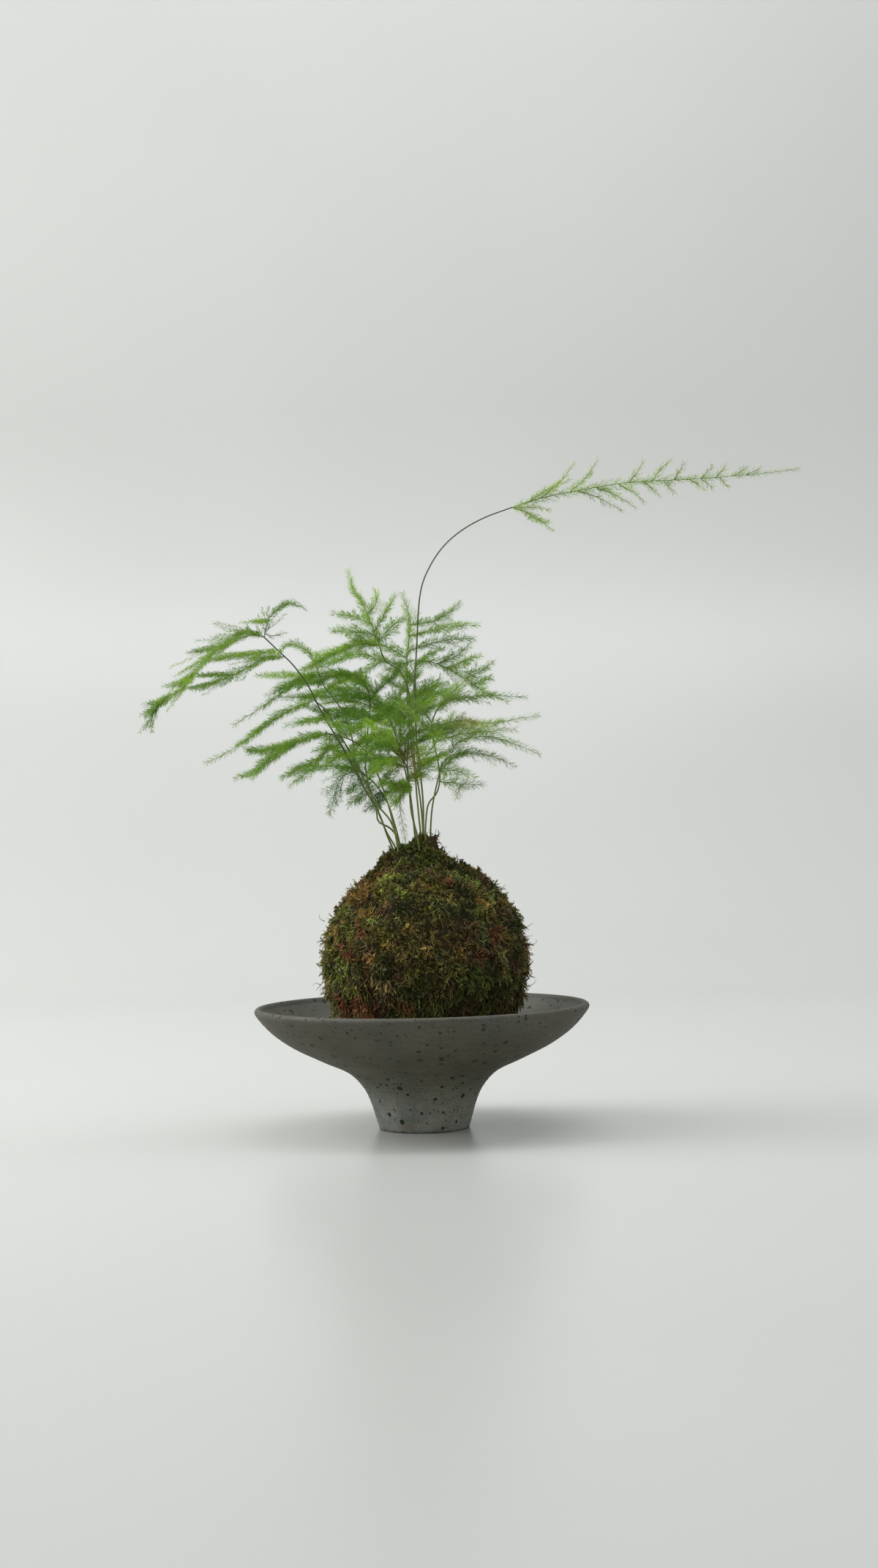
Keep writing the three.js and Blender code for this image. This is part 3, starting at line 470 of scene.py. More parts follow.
root_parts = []
for index in range(ROOT_FIBRES):
    seat = rng.integers(len(neck_places))
    across = np.cross(neck_normals[seat], rng.normal(0, 1, 3))
    across /= np.linalg.norm(across)
    lift = rng.uniform(0.05, 0.35) if index % 5 else 0.8
    heading = across + lift * neck_normals[seat]
    root_parts.append(curling_root(
        neck_places[seat] - 0.2 * neck_normals[seat], heading / np.linalg.norm(heading),
        rng.uniform(*ROOT_LENGTHS), ROOT_CURL, rng.uniform(*ROOT_RADII), rng))
for points, radius in LOOSE_ROOTS:
    path = smooth_path(points, 0.5)
    root_parts.append(tube(path, np.linspace(radius, 0.3 * radius, len(path)), 5))
roots = new_piece("root_fibres", *join_parts(root_parts), dry_root)


# Moss skin.
# Sheet moss wrapped round the soil ball: a felt of old brown stems, and on it clumps of leafy
# shoots 2 to 7 mm long, standing out on the shoulders and hanging like wet feathers down the sides.

BALL_CENTRE = np.array([2.6, 0, 89.2])
MOSS_RADIUS = 54
MOSS_UNDERSIDE = 36.35
# The wet moss sags outwards between these two shares of the way down
SAG_BULGE = 4.5
SAG_SPAN = (0.35, 0.86)
COLLAR_RISE = 8
COLLAR_WIDTH = 15
COLLAR_X = -4
COLLAR_FROM = 126
# How far a direction from the ball's middle rises at the edge of its flat and at the collar's edge
FLAT_EDGE = -0.88
COLLAR_EDGE = 0.72
# Lumps 9 mm across with tufts of 3 mm on them
FELT_LUMP = 2.2
FELT_LUMP_SIZES = (9, 3)
FELT_DEPTH = 0.5
CLUMPS = 820
CLUMP_RADIUS = 4
CLUMP_LEAN = 0.55
STEM_STRAY = 0.42
SHOOTS = 6900
SHOOT_LENGTHS = (2.8, 6.4)
SHOOT_LEAVES = 13
LEAF_LENGTHS = (1.2, 2.2)
STRANDS = 22000
STRAND_LENGTHS = (2, 5)
STRAND_HALF_WIDTHS = (0.16, 0.34)
NECK_SHOOTS = 1700
NECK_SHOOT_LEAVES = 9
CREPT_FROM = 120
# Where the bare top of the tallest mound begins, in x and in z
BARE_TOP = (4, 148)
COLLAR_STRANDS = 26000
WHISKERS = 150
WHISKER_LENGTHS = (3, 6.5)
WHISKER_RADII = (0.11, 0.19)
WHISKER_CURL = 0.42
# Each kind of moss: its colour, its share of the clumps, and the patches in front where it takes over,
# each with its middle and its width
# The brown patches at (30, -44, 54) and (46, -26, 52) are painted shade as well as moss colour: they darken
# the lower right, which falls in shade
MOSS_KINDS = {
    "deep green": ("#47511f", 0.2, [((-10, -48, 82), 8), ((30, -44, 84), 8)]),
    "olive": ("#757235", 0.27, [
        ((-3, -53, 92), 9), ((-17, -46, 54), 7), ((-50, -20, 70), 9), ((2, -42, 122), 9),
        ((40, -36, 66), 9), ((52, -12, 88), 10), ((8, -12, 140), 8)]),
    "leaf green": ("#78833b", 0.12, [((-46, -26, 86), 9), ((-38, -22, 112), 9), ((2, -8, 143), 7)]),
    "bright green": ("#98a34f", 0.04, [((-18, -30, 130), 7)]),
    "ochre": ("#957e3f", 0.13, [
        ((-24, -45, 96), 6), ((-28, -22, 126), 8), ((-4, -49, 106), 6), ((12, -51, 96), 6),
        ((26, -34, 118), 9)]),
    "russet": ("#8e5b3b", 0.05, [
        ((-35, -35, 68), 8), ((-31, -41, 80), 9), ((-35, -38, 94), 8), ((-9, -50, 71), 4)]),
    "brown": ("#735a38", 0.16, [
        ((-17, -42, 117), 7), ((26, -45, 105), 8), ((40, -30, 104), 8), ((30, -44, 54), 8),
        ((46, -26, 52), 8), ((-15, -10, 140), 6)]),
    "straw": ("#a89562", 0.03, []),
}
KIND_DRIFT = 13
KIND_CONTRAST = 3.2
PATCH_STRENGTH = 3
# Painted shade darkens the moss low on the right, and painted light lightens and warms it on the left, where
# the light falls from
SHADE_BELOW = 112
PAINTED_SHADE_DEPTH = 0.5
PAINTED_LIGHT_TINT = np.array([0.22, 0.1, 0.06])


def unit(vectors):
    return vectors / np.maximum(np.linalg.norm(vectors, axis=-1, keepdims=True), 1e-9)


def lumpiness(points, size, seed):
    """Fractal lumps about size across, from -1 to 1, at each of the points."""
    shift = Vector((seed, 2 * seed, 3 * seed))
    return np.array([noise.fractal(Vector(point) / size + shift, 1.0, 2.0, 3) for point in points])


def moss_surface(directions):
    """Points of the lumpy moss felt in the given unit directions from the ball's centre."""
    down = -directions[:, 2]
    places = BALL_CENTRE + MOSS_RADIUS * directions
    from_collar = np.hypot(places[:, 0] - COLLAR_X, places[:, 1])
    collar = np.where(directions[:, 2] > 0, COLLAR_RISE * np.exp(-(from_collar / COLLAR_WIDTH) ** 2), 0)
    share = np.clip((down - SAG_SPAN[0]) / (SAG_SPAN[1] - SAG_SPAN[0]), 0, 1)
    sag = SAG_BULGE * share * share * (3 - 2 * share)
    large, small = (lumpiness(places, size, seed) for seed, size in enumerate(FELT_LUMP_SIZES, 1))
    lumps = FELT_LUMP * (large + 0.35 * small - 0.2)
    flat = (BALL_CENTRE[2] - MOSS_UNDERSIDE) / np.maximum(down, 0.01)
    reach = np.minimum(MOSS_RADIUS + collar + sag + lumps, flat)
    return BALL_CENTRE + reach[:, None] * directions


def moss_colours(points, rng):
    """A colour for each point: its kind drifts over the ball in patches, and each strays a little."""
    palette = np.array([linear(kind[0])[:3] for kind in MOSS_KINDS.values()])
    weights = np.zeros((len(points), len(palette)))
    for kind, (colour, share, patches) in enumerate(MOSS_KINDS.values()):
        drift = lumpiness(points, KIND_DRIFT, 20 + kind)
        weights[:, kind] = share * np.exp(KIND_CONTRAST * drift)
        for middle, width in patches:
            gap = np.linalg.norm(points - np.array(middle), axis=1)
            weights[:, kind] += PATCH_STRENGTH * np.exp(-(gap / width) ** 2)
    weights /= weights.sum(axis=1)[:, None]
    draw = rng.uniform(0, 1, len(points))[:, None]
    kinds = (np.cumsum(weights, axis=1) < draw).sum(axis=1).clip(0, len(palette) - 1)
    # Painted shade low on the right and painted light, with a warmer tint, on the left
    painted_shade = np.clip(points[:, :1] / 40, 0, 1) * np.clip((SHADE_BELOW - points[:, 2:]) / 50, 0, 1)
    painted_light = np.clip(-points[:, :1] / 40, 0, 1) * PAINTED_LIGHT_TINT
    colours = (1 - PAINTED_SHADE_DEPTH * painted_shade + painted_light) * palette[kinds]
    colours = colours * rng.uniform(0.7, 1.22, (len(points), 1))
    return colours * rng.uniform(0.95, 1.05, (len(points), 3))


def scattered(count, rng):
    """Random unit directions, none of them under the ball's flat."""
    directions = unit(rng.normal(0, 1, (2 * count, 3)))
    return directions[directions[:, 2] > FLAT_EDGE][:count]


# Old moss felt is dull and dark, so that the live shoots stand out against it.
moss_felt, tree, place = new_material("old_moss_felt")
# Matted stems about 1 mm apart, and brown and green drifts about 9 mm wide.
matted = add_node(tree, "ShaderNodeTexNoise", {
    "Vector": place, "Scale": 1 / (1.1 * MM), "Detail": 5.0, "Roughness": 0.7})
drift = add_node(tree, "ShaderNodeTexNoise", {
    "Vector": place, "Scale": 1 / (9 * MM), "Detail": 3.0})
green_felt = add_node(tree, "ShaderNodeValToRGB", {"Fac": matted.outputs[0]}, stops=[
    (0.3, linear("#15170a")), (0.55, linear("#373a1e")), (0.8, linear("#5f5f35"))])
brown_felt = add_node(tree, "ShaderNodeValToRGB", {"Fac": matted.outputs[0]}, stops=[
    (0.3, linear("#170f08")), (0.55, linear("#3f2f1c")), (0.8, linear("#664f33"))])
drifted = add_node(tree, "ShaderNodeMapRange", {"Value": drift.outputs[0], "From Min": 0.4, "From Max": 0.6})
felt_colour = add_node(tree, "ShaderNodeMix", {
    0: drifted.outputs[0], 6: green_felt.outputs[0], 7: brown_felt.outputs[0]}, data_type="RGBA")
felt_relief = add_node(tree, "ShaderNodeBump", {
    "Height": matted.outputs[0], "Strength": 0.9, "Distance": 0.9 * MM})
shader = add_node(tree, "ShaderNodeBsdfPrincipled", {
    "Base Color": felt_colour.outputs[2], "Roughness": 0.95, "IOR": 1.4, "Normal": felt_relief.outputs[0]})
finish_material(tree, shader)

directions, felt_faces = round_ball(7)
directions = unit(directions)
below_shoots = FELT_DEPTH * directions * (directions[:, 2:] > -0.8)
felt = new_piece("moss_felt", moss_surface(directions) - below_shoots, felt_faces, moss_felt)
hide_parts("moss_skin")

# A live moss leaf is a thin moist skin with a faint sheen, mottled in spots of 1.5 mm.
moss_leaf, tree, place = new_material("moss_leaf")
own_colour = add_node(tree, "ShaderNodeVertexColor", layer_name="shoot_colour")
spots = add_node(tree, "ShaderNodeTexNoise", {
    "Vector": place, "Scale": 1 / (1.5 * MM), "Detail": 3.0, "Roughness": 0.65})
shader = add_node(tree, "ShaderNodeBsdfPrincipled", {
    "Base Color": mottled(tree, own_colour.outputs[0], spots, (0.3, 0.7), (0.6, 1.4)),
    "Roughness": 0.6, "IOR": 1.42})
finish_material(tree, shader)

# The moss grows in clumps: each has its own colour and its own lean, and swells in its middle
rng = np.random.default_rng(40)
clump_directions = scattered(CLUMPS, rng)
clump_places = moss_surface(clump_directions)
clump_colours = moss_colours(clump_places, rng)
clump_leans = unit(rng.normal(0, 1, (len(clump_places), 3)))


def moss_paths(seats, outward, shortest, longest, joints, rng):
    """Centre lines of moss stems that spray out of their clumps, and the colour of each. Stems stand out
    on the shoulders and hang down the sides, and are short and close at the collar and the neck."""
    clump = np.argmax(unit(seats - BALL_CENTRE) @ clump_directions.T, axis=1)
    # How far it stands from its clump's middle, along the skin
    away = (seats - clump_places[clump]) / CLUMP_RADIUS
    away = away - (away * outward).sum(axis=1, keepdims=True) * outward
    edge = np.where(seats[:, 2:] > COLLAR_FROM, 0.75, 1.5)
    from_middle = np.minimum(np.linalg.norm(away, axis=1, keepdims=True), edge)
    # It sets out from the skin, from its clump's middle and downhill, and never into the felt
    downhill = unit(np.array([0, 0, -1.0]) + outward * outward[:, 2:3])
    low = np.clip(0.75 - 1.1 * outward[:, 2:3], 0.12, 1.3)
    heading = unit(
        outward * rng.uniform(0.1, 0.6, (len(seats), 1)) + 0.5 * away + downhill * low
        + clump_leans[clump] * CLUMP_LEAN + rng.normal(0, STEM_STRAY, (len(seats), 3)))
    inward = np.minimum((heading * outward).sum(axis=1, keepdims=True), 0.1) - 0.1
    heading = unit(heading - inward * outward)
    # It bends as it grows, mostly down and back to the skin
    bend = rng.normal(0, 1, (len(seats), 3)) + downhill * 0.6 * low - outward * 0.5
    bend = unit(bend - (bend * heading).sum(axis=1, keepdims=True) * heading)
    turn = rng.uniform(0.4, 2.1, (len(seats), 1, 1)) * (1.15 - 0.5 * low[:, None])
    at_neck = np.clip(1 - (seats[:, 2:] - 128) / 25, 0.6, 1)
    lengths = rng.uniform(shortest, longest, (len(seats), 1)) * at_neck * (0.9 + 0.2 * low)
    t = np.linspace(0, 1, joints)[None, :, None]
    # The clump swells in its middle, where its colour is palest
    rise = (0.9 - 1.1 * from_middle * from_middle).clip(-1.1, 0.9)
    starts = seats + outward * rise - 0.3 * outward
    curl = heading[:, None] * np.sin(turn * t) / turn + bend[:, None] * (1 - np.cos(turn * t)) / turn
    paths = starts[:, None] + lengths[:, None] * curl
    own = moss_colours(seats, rng)
    # Stems are painted darker towards the clump's edge: painted shade in the crevices between clumps
    colours = (0.8 * clump_colours[clump] + 0.2 * own) * (1.25 - 0.5 * np.minimum(from_middle, 1.2))
    return paths, colours * rng.uniform(0.65, 1.4, (len(seats), 1))


def folded_blades(name, corners, material):
    """A piece of slim blades, each of four corners and folded along the line from its foot to its tip."""
    quads = np.arange(corners.size // 3).reshape(-1, 4)
    faces = np.vstack([quads[:, [0, 1, 2]], quads[:, [0, 2, 3]]])
    return new_piece(name, corners.reshape(-1, 3), faces, material, smooth=False)


def leafy_shoots(name, seats, outward, leaves, material, rng):
    """Moss shoots with pointed, folded leaves: in two rows like a feather low down, all round above."""
    paths, colours = moss_paths(seats, outward, *SHOOT_LENGTHS, leaves + 1, rng)
    tangent = unit(np.gradient(paths, axis=1))
    across = unit(np.cross(tangent, outward[:, None]))
    over = np.cross(across, tangent)
    along = np.linspace(0, 1, leaves + 1)[None, :, None]
    leaf_length = rng.uniform(*LEAF_LENGTHS, (len(paths), 1, 1)) * (1.1 - 0.5 * along)
    step = np.arange(leaves + 1)[None]
    feather = (outward[:, 2:3] < 0.45) & (rng.uniform(0, 1, (len(paths), 1)) < 0.75)
    in_rows = np.pi * (step % 2) + rng.normal(0, 0.35, (len(paths), leaves + 1))
    all_round = rng.uniform(0, 2 * np.pi, (len(paths), 1)) + 2.4 * step
    spin = np.where(feather, in_rows, all_round)[..., None]
    spread = np.cos(spin) * across + np.sin(spin) * over
    side = -np.sin(spin) * across + np.cos(spin) * over
    lean = rng.uniform(0.5, 0.85, (len(paths), 1, 1))
    heading = unit(spread * lean + tangent * (1.05 - lean) + tangent * along * 0.6)
    width = 0.28 * leaf_length
    middle = paths + heading * leaf_length * 0.4
    fold = 0.12 * leaf_length * np.cross(side, heading)
    corners = np.stack([
        paths, middle + side * width + fold, paths + heading * leaf_length, middle - side * width + fold], 2)
    corners[..., 2] = np.maximum(corners[..., 2], MOSS_UNDERSIDE + 0.1)
    piece = folded_blades(name, corners, material)
    # Each leaf is dark at its foot and pale at its tip
    each = np.repeat((colours[:, None] * (0.6 + 0.7 * along)).reshape(-1, 3), 4, axis=0)
    each.reshape(-1, 4, 3)[:, 0] *= 0.7
    each.reshape(-1, 4, 3)[:, 2] *= 1.3
    paint(piece, "shoot_colour", each)


def moss_strands(name, seats, outward, material, rng):
    """Loose single stems, each a narrow curled blade."""
    joints = 5
    paths, colours = moss_paths(seats, outward, *STRAND_LENGTHS, joints, rng)
    tangent = paths[:, 2] - paths[:, 0]
    across = unit(np.cross(tangent, outward + 0.6 * rng.normal(0, 1, outward.shape)))[:, None]
    taper = np.array([0.8, 1.2, 1, 0.7])[None, :, None]
    width = rng.uniform(*STRAND_HALF_WIDTHS, (len(paths), 1, 1)) * taper
    edges = np.stack([paths[:, :-1] + across * width, paths[:, :-1] - across * width], 2)
    corners = np.concatenate([edges.reshape(len(paths), -1, 3), paths[:, -1:]], axis=1)
    corners[..., 2] = np.maximum(corners[..., 2], MOSS_UNDERSIDE + 0.1)
    start = (2 * joints - 1) * np.arange(len(paths))[:, None]
    pattern = [(6, 7, 8)]
    for row in (0, 2, 4):
        pattern += [(row, row + 1, row + 3), (row, row + 3, row + 2)]
    faces = np.vstack([start + np.array(face)[None] for face in pattern])
    piece = new_piece(name, corners.reshape(-1, 3), faces, material, smooth=False)
    shade = np.array([0.45, 0.45, 0.75, 0.75, 1, 1, 1.25, 1.25, 1.5])[None, :, None]
    paint(piece, "shoot_colour", (colours[:, None] * shade).reshape(-1, 3))


rng = np.random.default_rng(41)
outward = scattered(SHOOTS, rng)
leafy_shoots("moss_shoots", moss_surface(outward), outward, SHOOT_LEAVES, moss_leaf, rng)
collar = scattered(COLLAR_STRANDS, rng)
outward = np.vstack([scattered(STRANDS, rng), collar[collar[:, 2] > COLLAR_EDGE]])
moss_strands("moss_strands", moss_surface(outward), outward, moss_leaf, rng)
# Moss has crept over the mounds at the neck and left only the top of the tallest one bare
from_heart = soil_places - BALL_CENTRE
skin_reach = np.linalg.norm(moss_surface(unit(from_heart)) - BALL_CENTRE, axis=1)
standing_out = np.linalg.norm(from_heart, axis=1) > skin_reach - 0.4
bare_top = (soil_places[:, 0] > BARE_TOP[0]) & (soil_places[:, 2] > BARE_TOP[1])
covered = np.flatnonzero((soil_places[:, 2] > CREPT_FROM) & standing_out & ~bare_top)
creeping = rng.choice(covered, NECK_SHOOTS)
leafy_shoots(
    "moss_at_neck", soil_places[creeping], soil_normals[creeping], NECK_SHOOT_LEAVES, moss_leaf, rng)

# Stalks and dead stems that stand clear of the moss and curl over
rng = np.random.default_rng(43)
outward = scattered(WHISKERS, rng)
whisker_parts = []
for seat, out in zip(moss_surface(outward), outward):
    heading = unit(out + 0.7 * rng.normal(0, 1, 3) + 0.6 * out)
    whisker_parts.append(curling_root(
        seat, heading, rng.uniform(*WHISKER_LENGTHS), WHISKER_CURL, rng.uniform(*WHISKER_RADII), rng))
whiskers = new_piece("moss_whiskers", *join_parts(whisker_parts), dry_root)


# Fern stems and needles.
# Asparagus fern: wiry stems with a waxy green skin, bare below, that branch above into sprays.
# The leaves are needle-like twigs 2 to 5 mm long, in tufts about a millimetre apart.

STEM_RADII = (0.52, 0.34)
SPRAY_RADII = (0.26, 0.1)
TWIG_RADII = (0.11, 0.06)
TWIG_SPACING = 1.6
TUFT_SPACING = 0.85
NEEDLES_IN_TUFT = 4
# Real needles are down to half as wide, but would be too fine to show
NEEDLE_WIDTH = 0.24
# A spray's side twigs: how far the first ones reach, what each mm of spray adds, and the longest
TWIG_REACH = (9, 0.3, 26)
SHORTEST_TWIG = 2.5
WITHERED = np.array(linear("#a8834f")[:3])

# A waxy stem is smooth and takes a soft narrow highlight. Streaks of 3 mm run through its green.
fern_stem, tree, place = new_material("waxy_fern_stem")
own_colour = add_node(tree, "ShaderNodeVertexColor", layer_name="stem_colour")
streaks = add_node(tree, "ShaderNodeTexNoise", {
    "Vector": place, "Scale": 1 / (3 * MM), "Detail": 3.0})
shader = add_node(tree, "ShaderNodeBsdfPrincipled", {
    "Base Color": mottled(tree, own_colour.outputs[0], streaks, (0.3, 0.7), (0.8, 1.2)),
    "Roughness": 0.45, "IOR": 1.45})
finish_material(tree, shader)

# Needles are thin enough to glow: half of their light comes through from the far side. Sprays ripen
# unevenly, in lighter and darker drifts about 15 mm wide.
fern_needle, tree, place = new_material("fern_needle")
own_colour = add_node(tree, "ShaderNodeVertexColor", layer_name="needle_colour")
ripeness = add_node(tree, "ShaderNodeTexNoise", {
    "Vector": place, "Scale": 1 / (15 * MM), "Detail": 2.0})
needle_tone = mottled(tree, own_colour.outputs[0], ripeness, (0.3, 0.7), (0.82, 1.2))
skin = add_node(tree, "ShaderNodeBsdfPrincipled", {
    "Base Color": needle_tone, "Roughness": 0.5, "IOR": 1.45})
glow = add_node(tree, "ShaderNodeBsdfTranslucent", {"Color": needle_tone})
shader = add_node(tree, "ShaderNodeMixShader", {
    0: 0.5, 1: skin.outputs["BSDF"], 2: glow.outputs["BSDF"]})
finish_material(tree, shader)


def needle_tufts(path, length, density, leans, rng):
    """Corners of needles in tufts along a twig, each a slim folded blade that leans forward."""
    tangents = unit(np.gradient(path, axis=0))
    along = np.concatenate([[0], np.cumsum(np.linalg.norm(np.diff(path, axis=0), axis=1))])
    count = max(2, round(along[-1] / TUFT_SPACING))
    at = np.linspace(0.04, 1, count) * along[-1]
    roots = np.column_stack([np.interp(at, along, column) for column in path.T])
    ahead = unit(np.column_stack([np.interp(at, along, column) for column in tangents.T]))
    number = max(1, round(NEEDLES_IN_TUFT * density))
    roots, ahead = np.repeat(roots, number, 0), np.repeat(ahead, number, 0)
    roots = roots + ahead * rng.uniform(-0.4, 0.4, (len(roots), 1)) * TUFT_SPACING
    around = unit(np.cross(ahead, rng.normal(0, 1, ahead.shape)))
    heading = unit(around + rng.uniform(*leans, (len(roots), 1)) * ahead)
    taper = np.clip(1.25 - 0.5 * np.repeat(at / along[-1], number), 0.7, 1)[:, None]
    size = length * taper * rng.uniform(0.75, 1.1, (len(roots), 1))
    side = 0.5 * NEEDLE_WIDTH * unit(np.cross(heading, around))
    middle = roots + 0.5 * size * heading + 0.7 * np.cross(side, heading)
    return np.stack([roots, middle + side, roots + size * heading, middle - side], 1)


def twig_path(start, heading, forward, length, rng):
    """A side twig that bows forward."""
    t = np.linspace(0, 1, max(3, round(length / 4) + 1))[:, None]
    wave = rng.normal(0, 0.08, 3) * length
    return start + length * (heading * t + 0.5 * forward * t * t) + wave * t * (1 - t)


def grow_frond(name, stem, sprays, stem_colours, needle_colours, needle=3.9, fan=1.0, density=1.0,
               tilt=0.1, ruffle=0.12, leans=(0.5, 1.15), bare=0.1, withered=(), seed=1):
    """One frond: its stem, the sprays that branch from it, each spray's side twigs and their needles.
    A spray's side twigs lie in a flat fan on both sides, like a feather, tilted from level by tilt.
    Needles have dried round each withered place."""
    rng = np.random.default_rng(seed)
    stem_path = smooth_path(stem, 2.5)
    parts = [tube(stem_path, np.linspace(*STEM_RADII, len(stem_path)), 8)]
    rising = np.linspace(0, 1, len(stem_path))[:, None]
    foot, top = (np.array(linear(colour)[:3]) for colour in stem_colours)
    tints = [np.repeat(foot + (top - foot) * rising, 8, axis=0)]
    dark, light = (np.array(linear(colour)[:3]) for colour in needle_colours)
    tufts, tuft_tints = [], []

    def cover(path, share, own_density, own_needle):
        corners = needle_tufts(path, own_needle, own_density, leans, rng)
        mix = np.clip(share + rng.normal(0, 0.2, (len(corners), 1, 1)), 0, 1.2)
        tone = dark + (light - dark) * mix
        for place, width in withered:
            gap = np.linalg.norm(corners[:, 0] - np.array(place), axis=1)[:, None, None]
            tone = tone + (WITHERED - tone) * 0.8 * np.exp(-(gap / width) ** 2)
        # Each needle is painted darker at its root and lighter at its tip: a painted glow of light coming
        # through the thin tips
        reach = np.array([0.75, 1, 1.2, 1])[None, :, None]
        tufts.append(corners)
        tuft_tints.append(tone * reach * rng.uniform(0.88, 1.12, (len(corners), 1, 1)))

    wood_line = stem_path
    for spray in sprays:
        points, own_fan, own_density, own_tilt = (
            spray if isinstance(spray, tuple) else (spray, 1.0, 1.0, tilt))
        nearest = np.argmin(np.linalg.norm(wood_line - np.array(points[0]), axis=1))
        path = smooth_path([tuple(wood_line[nearest]), *points[1:]], 2.0)
        wood_line = np.vstack([wood_line, path])
        length = np.linalg.norm(np.diff(path, axis=0), axis=1).sum()
        parts.append(tube(path, np.linspace(*SPRAY_RADII, len(path)), 5))
        tints.append(np.repeat((0.6 * top + 0.2 * (dark + light)) * np.ones((len(path), 1)), 5, axis=0))
        share = rng.uniform(0.2, 0.98)
        cover(path, share, 1.5 * density * own_density, 1.2 * needle)
        reach = fan * own_fan * min(TWIG_REACH[2], TWIG_REACH[0] + TWIG_REACH[1] * length)
        if reach < SHORTEST_TWIG:
            continue
        ahead = unit(np.gradient(path, axis=0))
        roll = rng.normal(own_tilt, 0.5 * ruffle)
        twigs = max(3, round(length / TWIG_SPACING))
        for twig in range(twigs):
            t = (twig + rng.uniform(0.2, 0.8)) / twigs
            index = min(len(path) - 1, int(t * len(path)))
            level = unit(np.cross(ahead[index], [0, 0, 1.0]))
            lifted = unit(np.cross(level, ahead[index]))
            own_roll = roll + rng.normal(0, ruffle)
            out = level * math.cos(own_roll) + lifted * math.sin(own_roll)
            out = out if twig % 2 else -out
            swell = min(1, 0.45 + 2.2 * t) * max(0, 1 - t / (1 - bare)) ** 0.6
            twig_length = reach * swell * rng.uniform(0.55, 1.15)
            if twig_length < SHORTEST_TWIG:
                continue
            heading = unit(out + rng.uniform(0.8, 1.8) * ahead[index] + rng.normal(0, 0.1, 3))
            side_path = twig_path(path[index], heading, 0.4 * ahead[index], twig_length, rng)
            parts.append(tube(side_path, np.linspace(*TWIG_RADII, len(side_path)), 3))
            tints.append(np.repeat((0.5 * (dark + light)) * np.ones((len(side_path), 1)), 3, axis=0))
            cover(side_path, share + rng.normal(0, 0.12), density * own_density, 0.85 * needle)

    wood_corners, wood_faces = join_parts(parts)
    wood = new_piece(f"{name}_stems", wood_corners, wood_faces, fern_stem)
    paint(wood, "stem_colour", np.vstack(tints))
    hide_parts(name)
    leaves = folded_blades(f"{name}_needles", np.vstack(tufts), fern_needle)
    paint(leaves, "needle_colour", np.vstack(tuft_tints).reshape(-1, 3))


# Fronds on the left.
# Six fronds that lean out to the left from one crowded foot; the outermost arches over and hangs
# its flat, feathery plume well clear of the rest.

grow_frond(
    "frond_far_left",
    stem=[
        (-11.5, -3.5, 138), (-13, -4.5, 147.5), (-16.5, -6.5, 157), (-21, -9.5, 170),
        (-27.5, -13, 181.5), (-38.5, -17, 203.5), (-49.5, -20, 223), (-57, -22, 238.5),
        (-64.5, -23, 249), (-72, -24, 256.5), (-79, -24, 263.5)
    ],
    sprays=[
        [(-79, -24, 263.5), (-83, -24, 265), (-99, -26, 260), (-112, -30, 249), (-122, -32, 237),
         (-133, -34, 230), (-138, -36, 215)],
        ([(-79, -24, 263), (-78, -22, 269), (-76, -19, 275), (-67, -14, 282), (-58, -10, 280)], 0.65, 1, 0),
        [(-77, -21, 273), (-84, -32, 271)],
        [(-81, -24, 264.5), (-90, -15, 267), (-104, -8, 261), (-122, -3, 258)],
        ([(-79, -24, 265), (-74, -25, 264), (-68, -26, 265.5)], 0, 0.7, 0),
        [(-72, -24, 256.5), (-82, -36, 254), (-95, -46, 252), (-106, -54, 249)],
        [(-69, -23.5, 253.5), (-80, -15, 253), (-91, -11, 248), (-105, -8, 242), (-125, -5, 238)],
        [(-97, -10, 245), (-117, 1, 246)],
        [(-127, -33, 233), (-134, -28, 230.5), (-140, -24, 230)],
        [(-130, -33, 232.5), (-134, -34, 228.5), (-137.5, -35, 223.5)],
        [(-132, -34, 230.5), (-136.5, -36, 227), (-140, -38, 224.5)],
        [(-134.5, -34, 227), (-138, -34, 222), (-139, -33, 217.5)],
        [(-117, -31, 243), (-125, -46, 237)],
    ],
    stem_colours=("#687434", "#3c4129"), needle_colours=("#4f7a21", "#90b140"),
    fan=1.2, density=0.72, tilt=0.02, ruffle=0.06, needle=3, bare=0.12, seed=101)

grow_frond(
    "frond_left_upper",
    stem=[
        (-10.5, 0.5, 139), (-11.6, -0.3, 148.5), (-17, -0.5, 159), (-22.5, -2, 172.5),
        (-30.5, -2.5, 187.5), (-34.5, 0, 209.5), (-39.5, 4, 225), (-45.5, 6, 233.5), (-50, 7, 240),
        (-53, 8, 248.5)
    ],
    sprays=[
        [(-53, 8, 248), (-56, 9, 256), (-67, 14, 263), (-73, 19, 261)],
        [(-51, 7.5, 245), (-67, 16, 246), (-87, 26, 247)],
        [(-45.5, 6, 233), (-58, -4, 233), (-71, -12, 232)],
        [(-48, 6.5, 237), (-39, 20, 243), (-28, 34, 246)],
    ],
    stem_colours=("#7b883e", "#586933"), needle_colours=("#699530", "#a9c850"),
    fan=0.6, density=0.8, tilt=0.3, needle=3.6, seed=102)

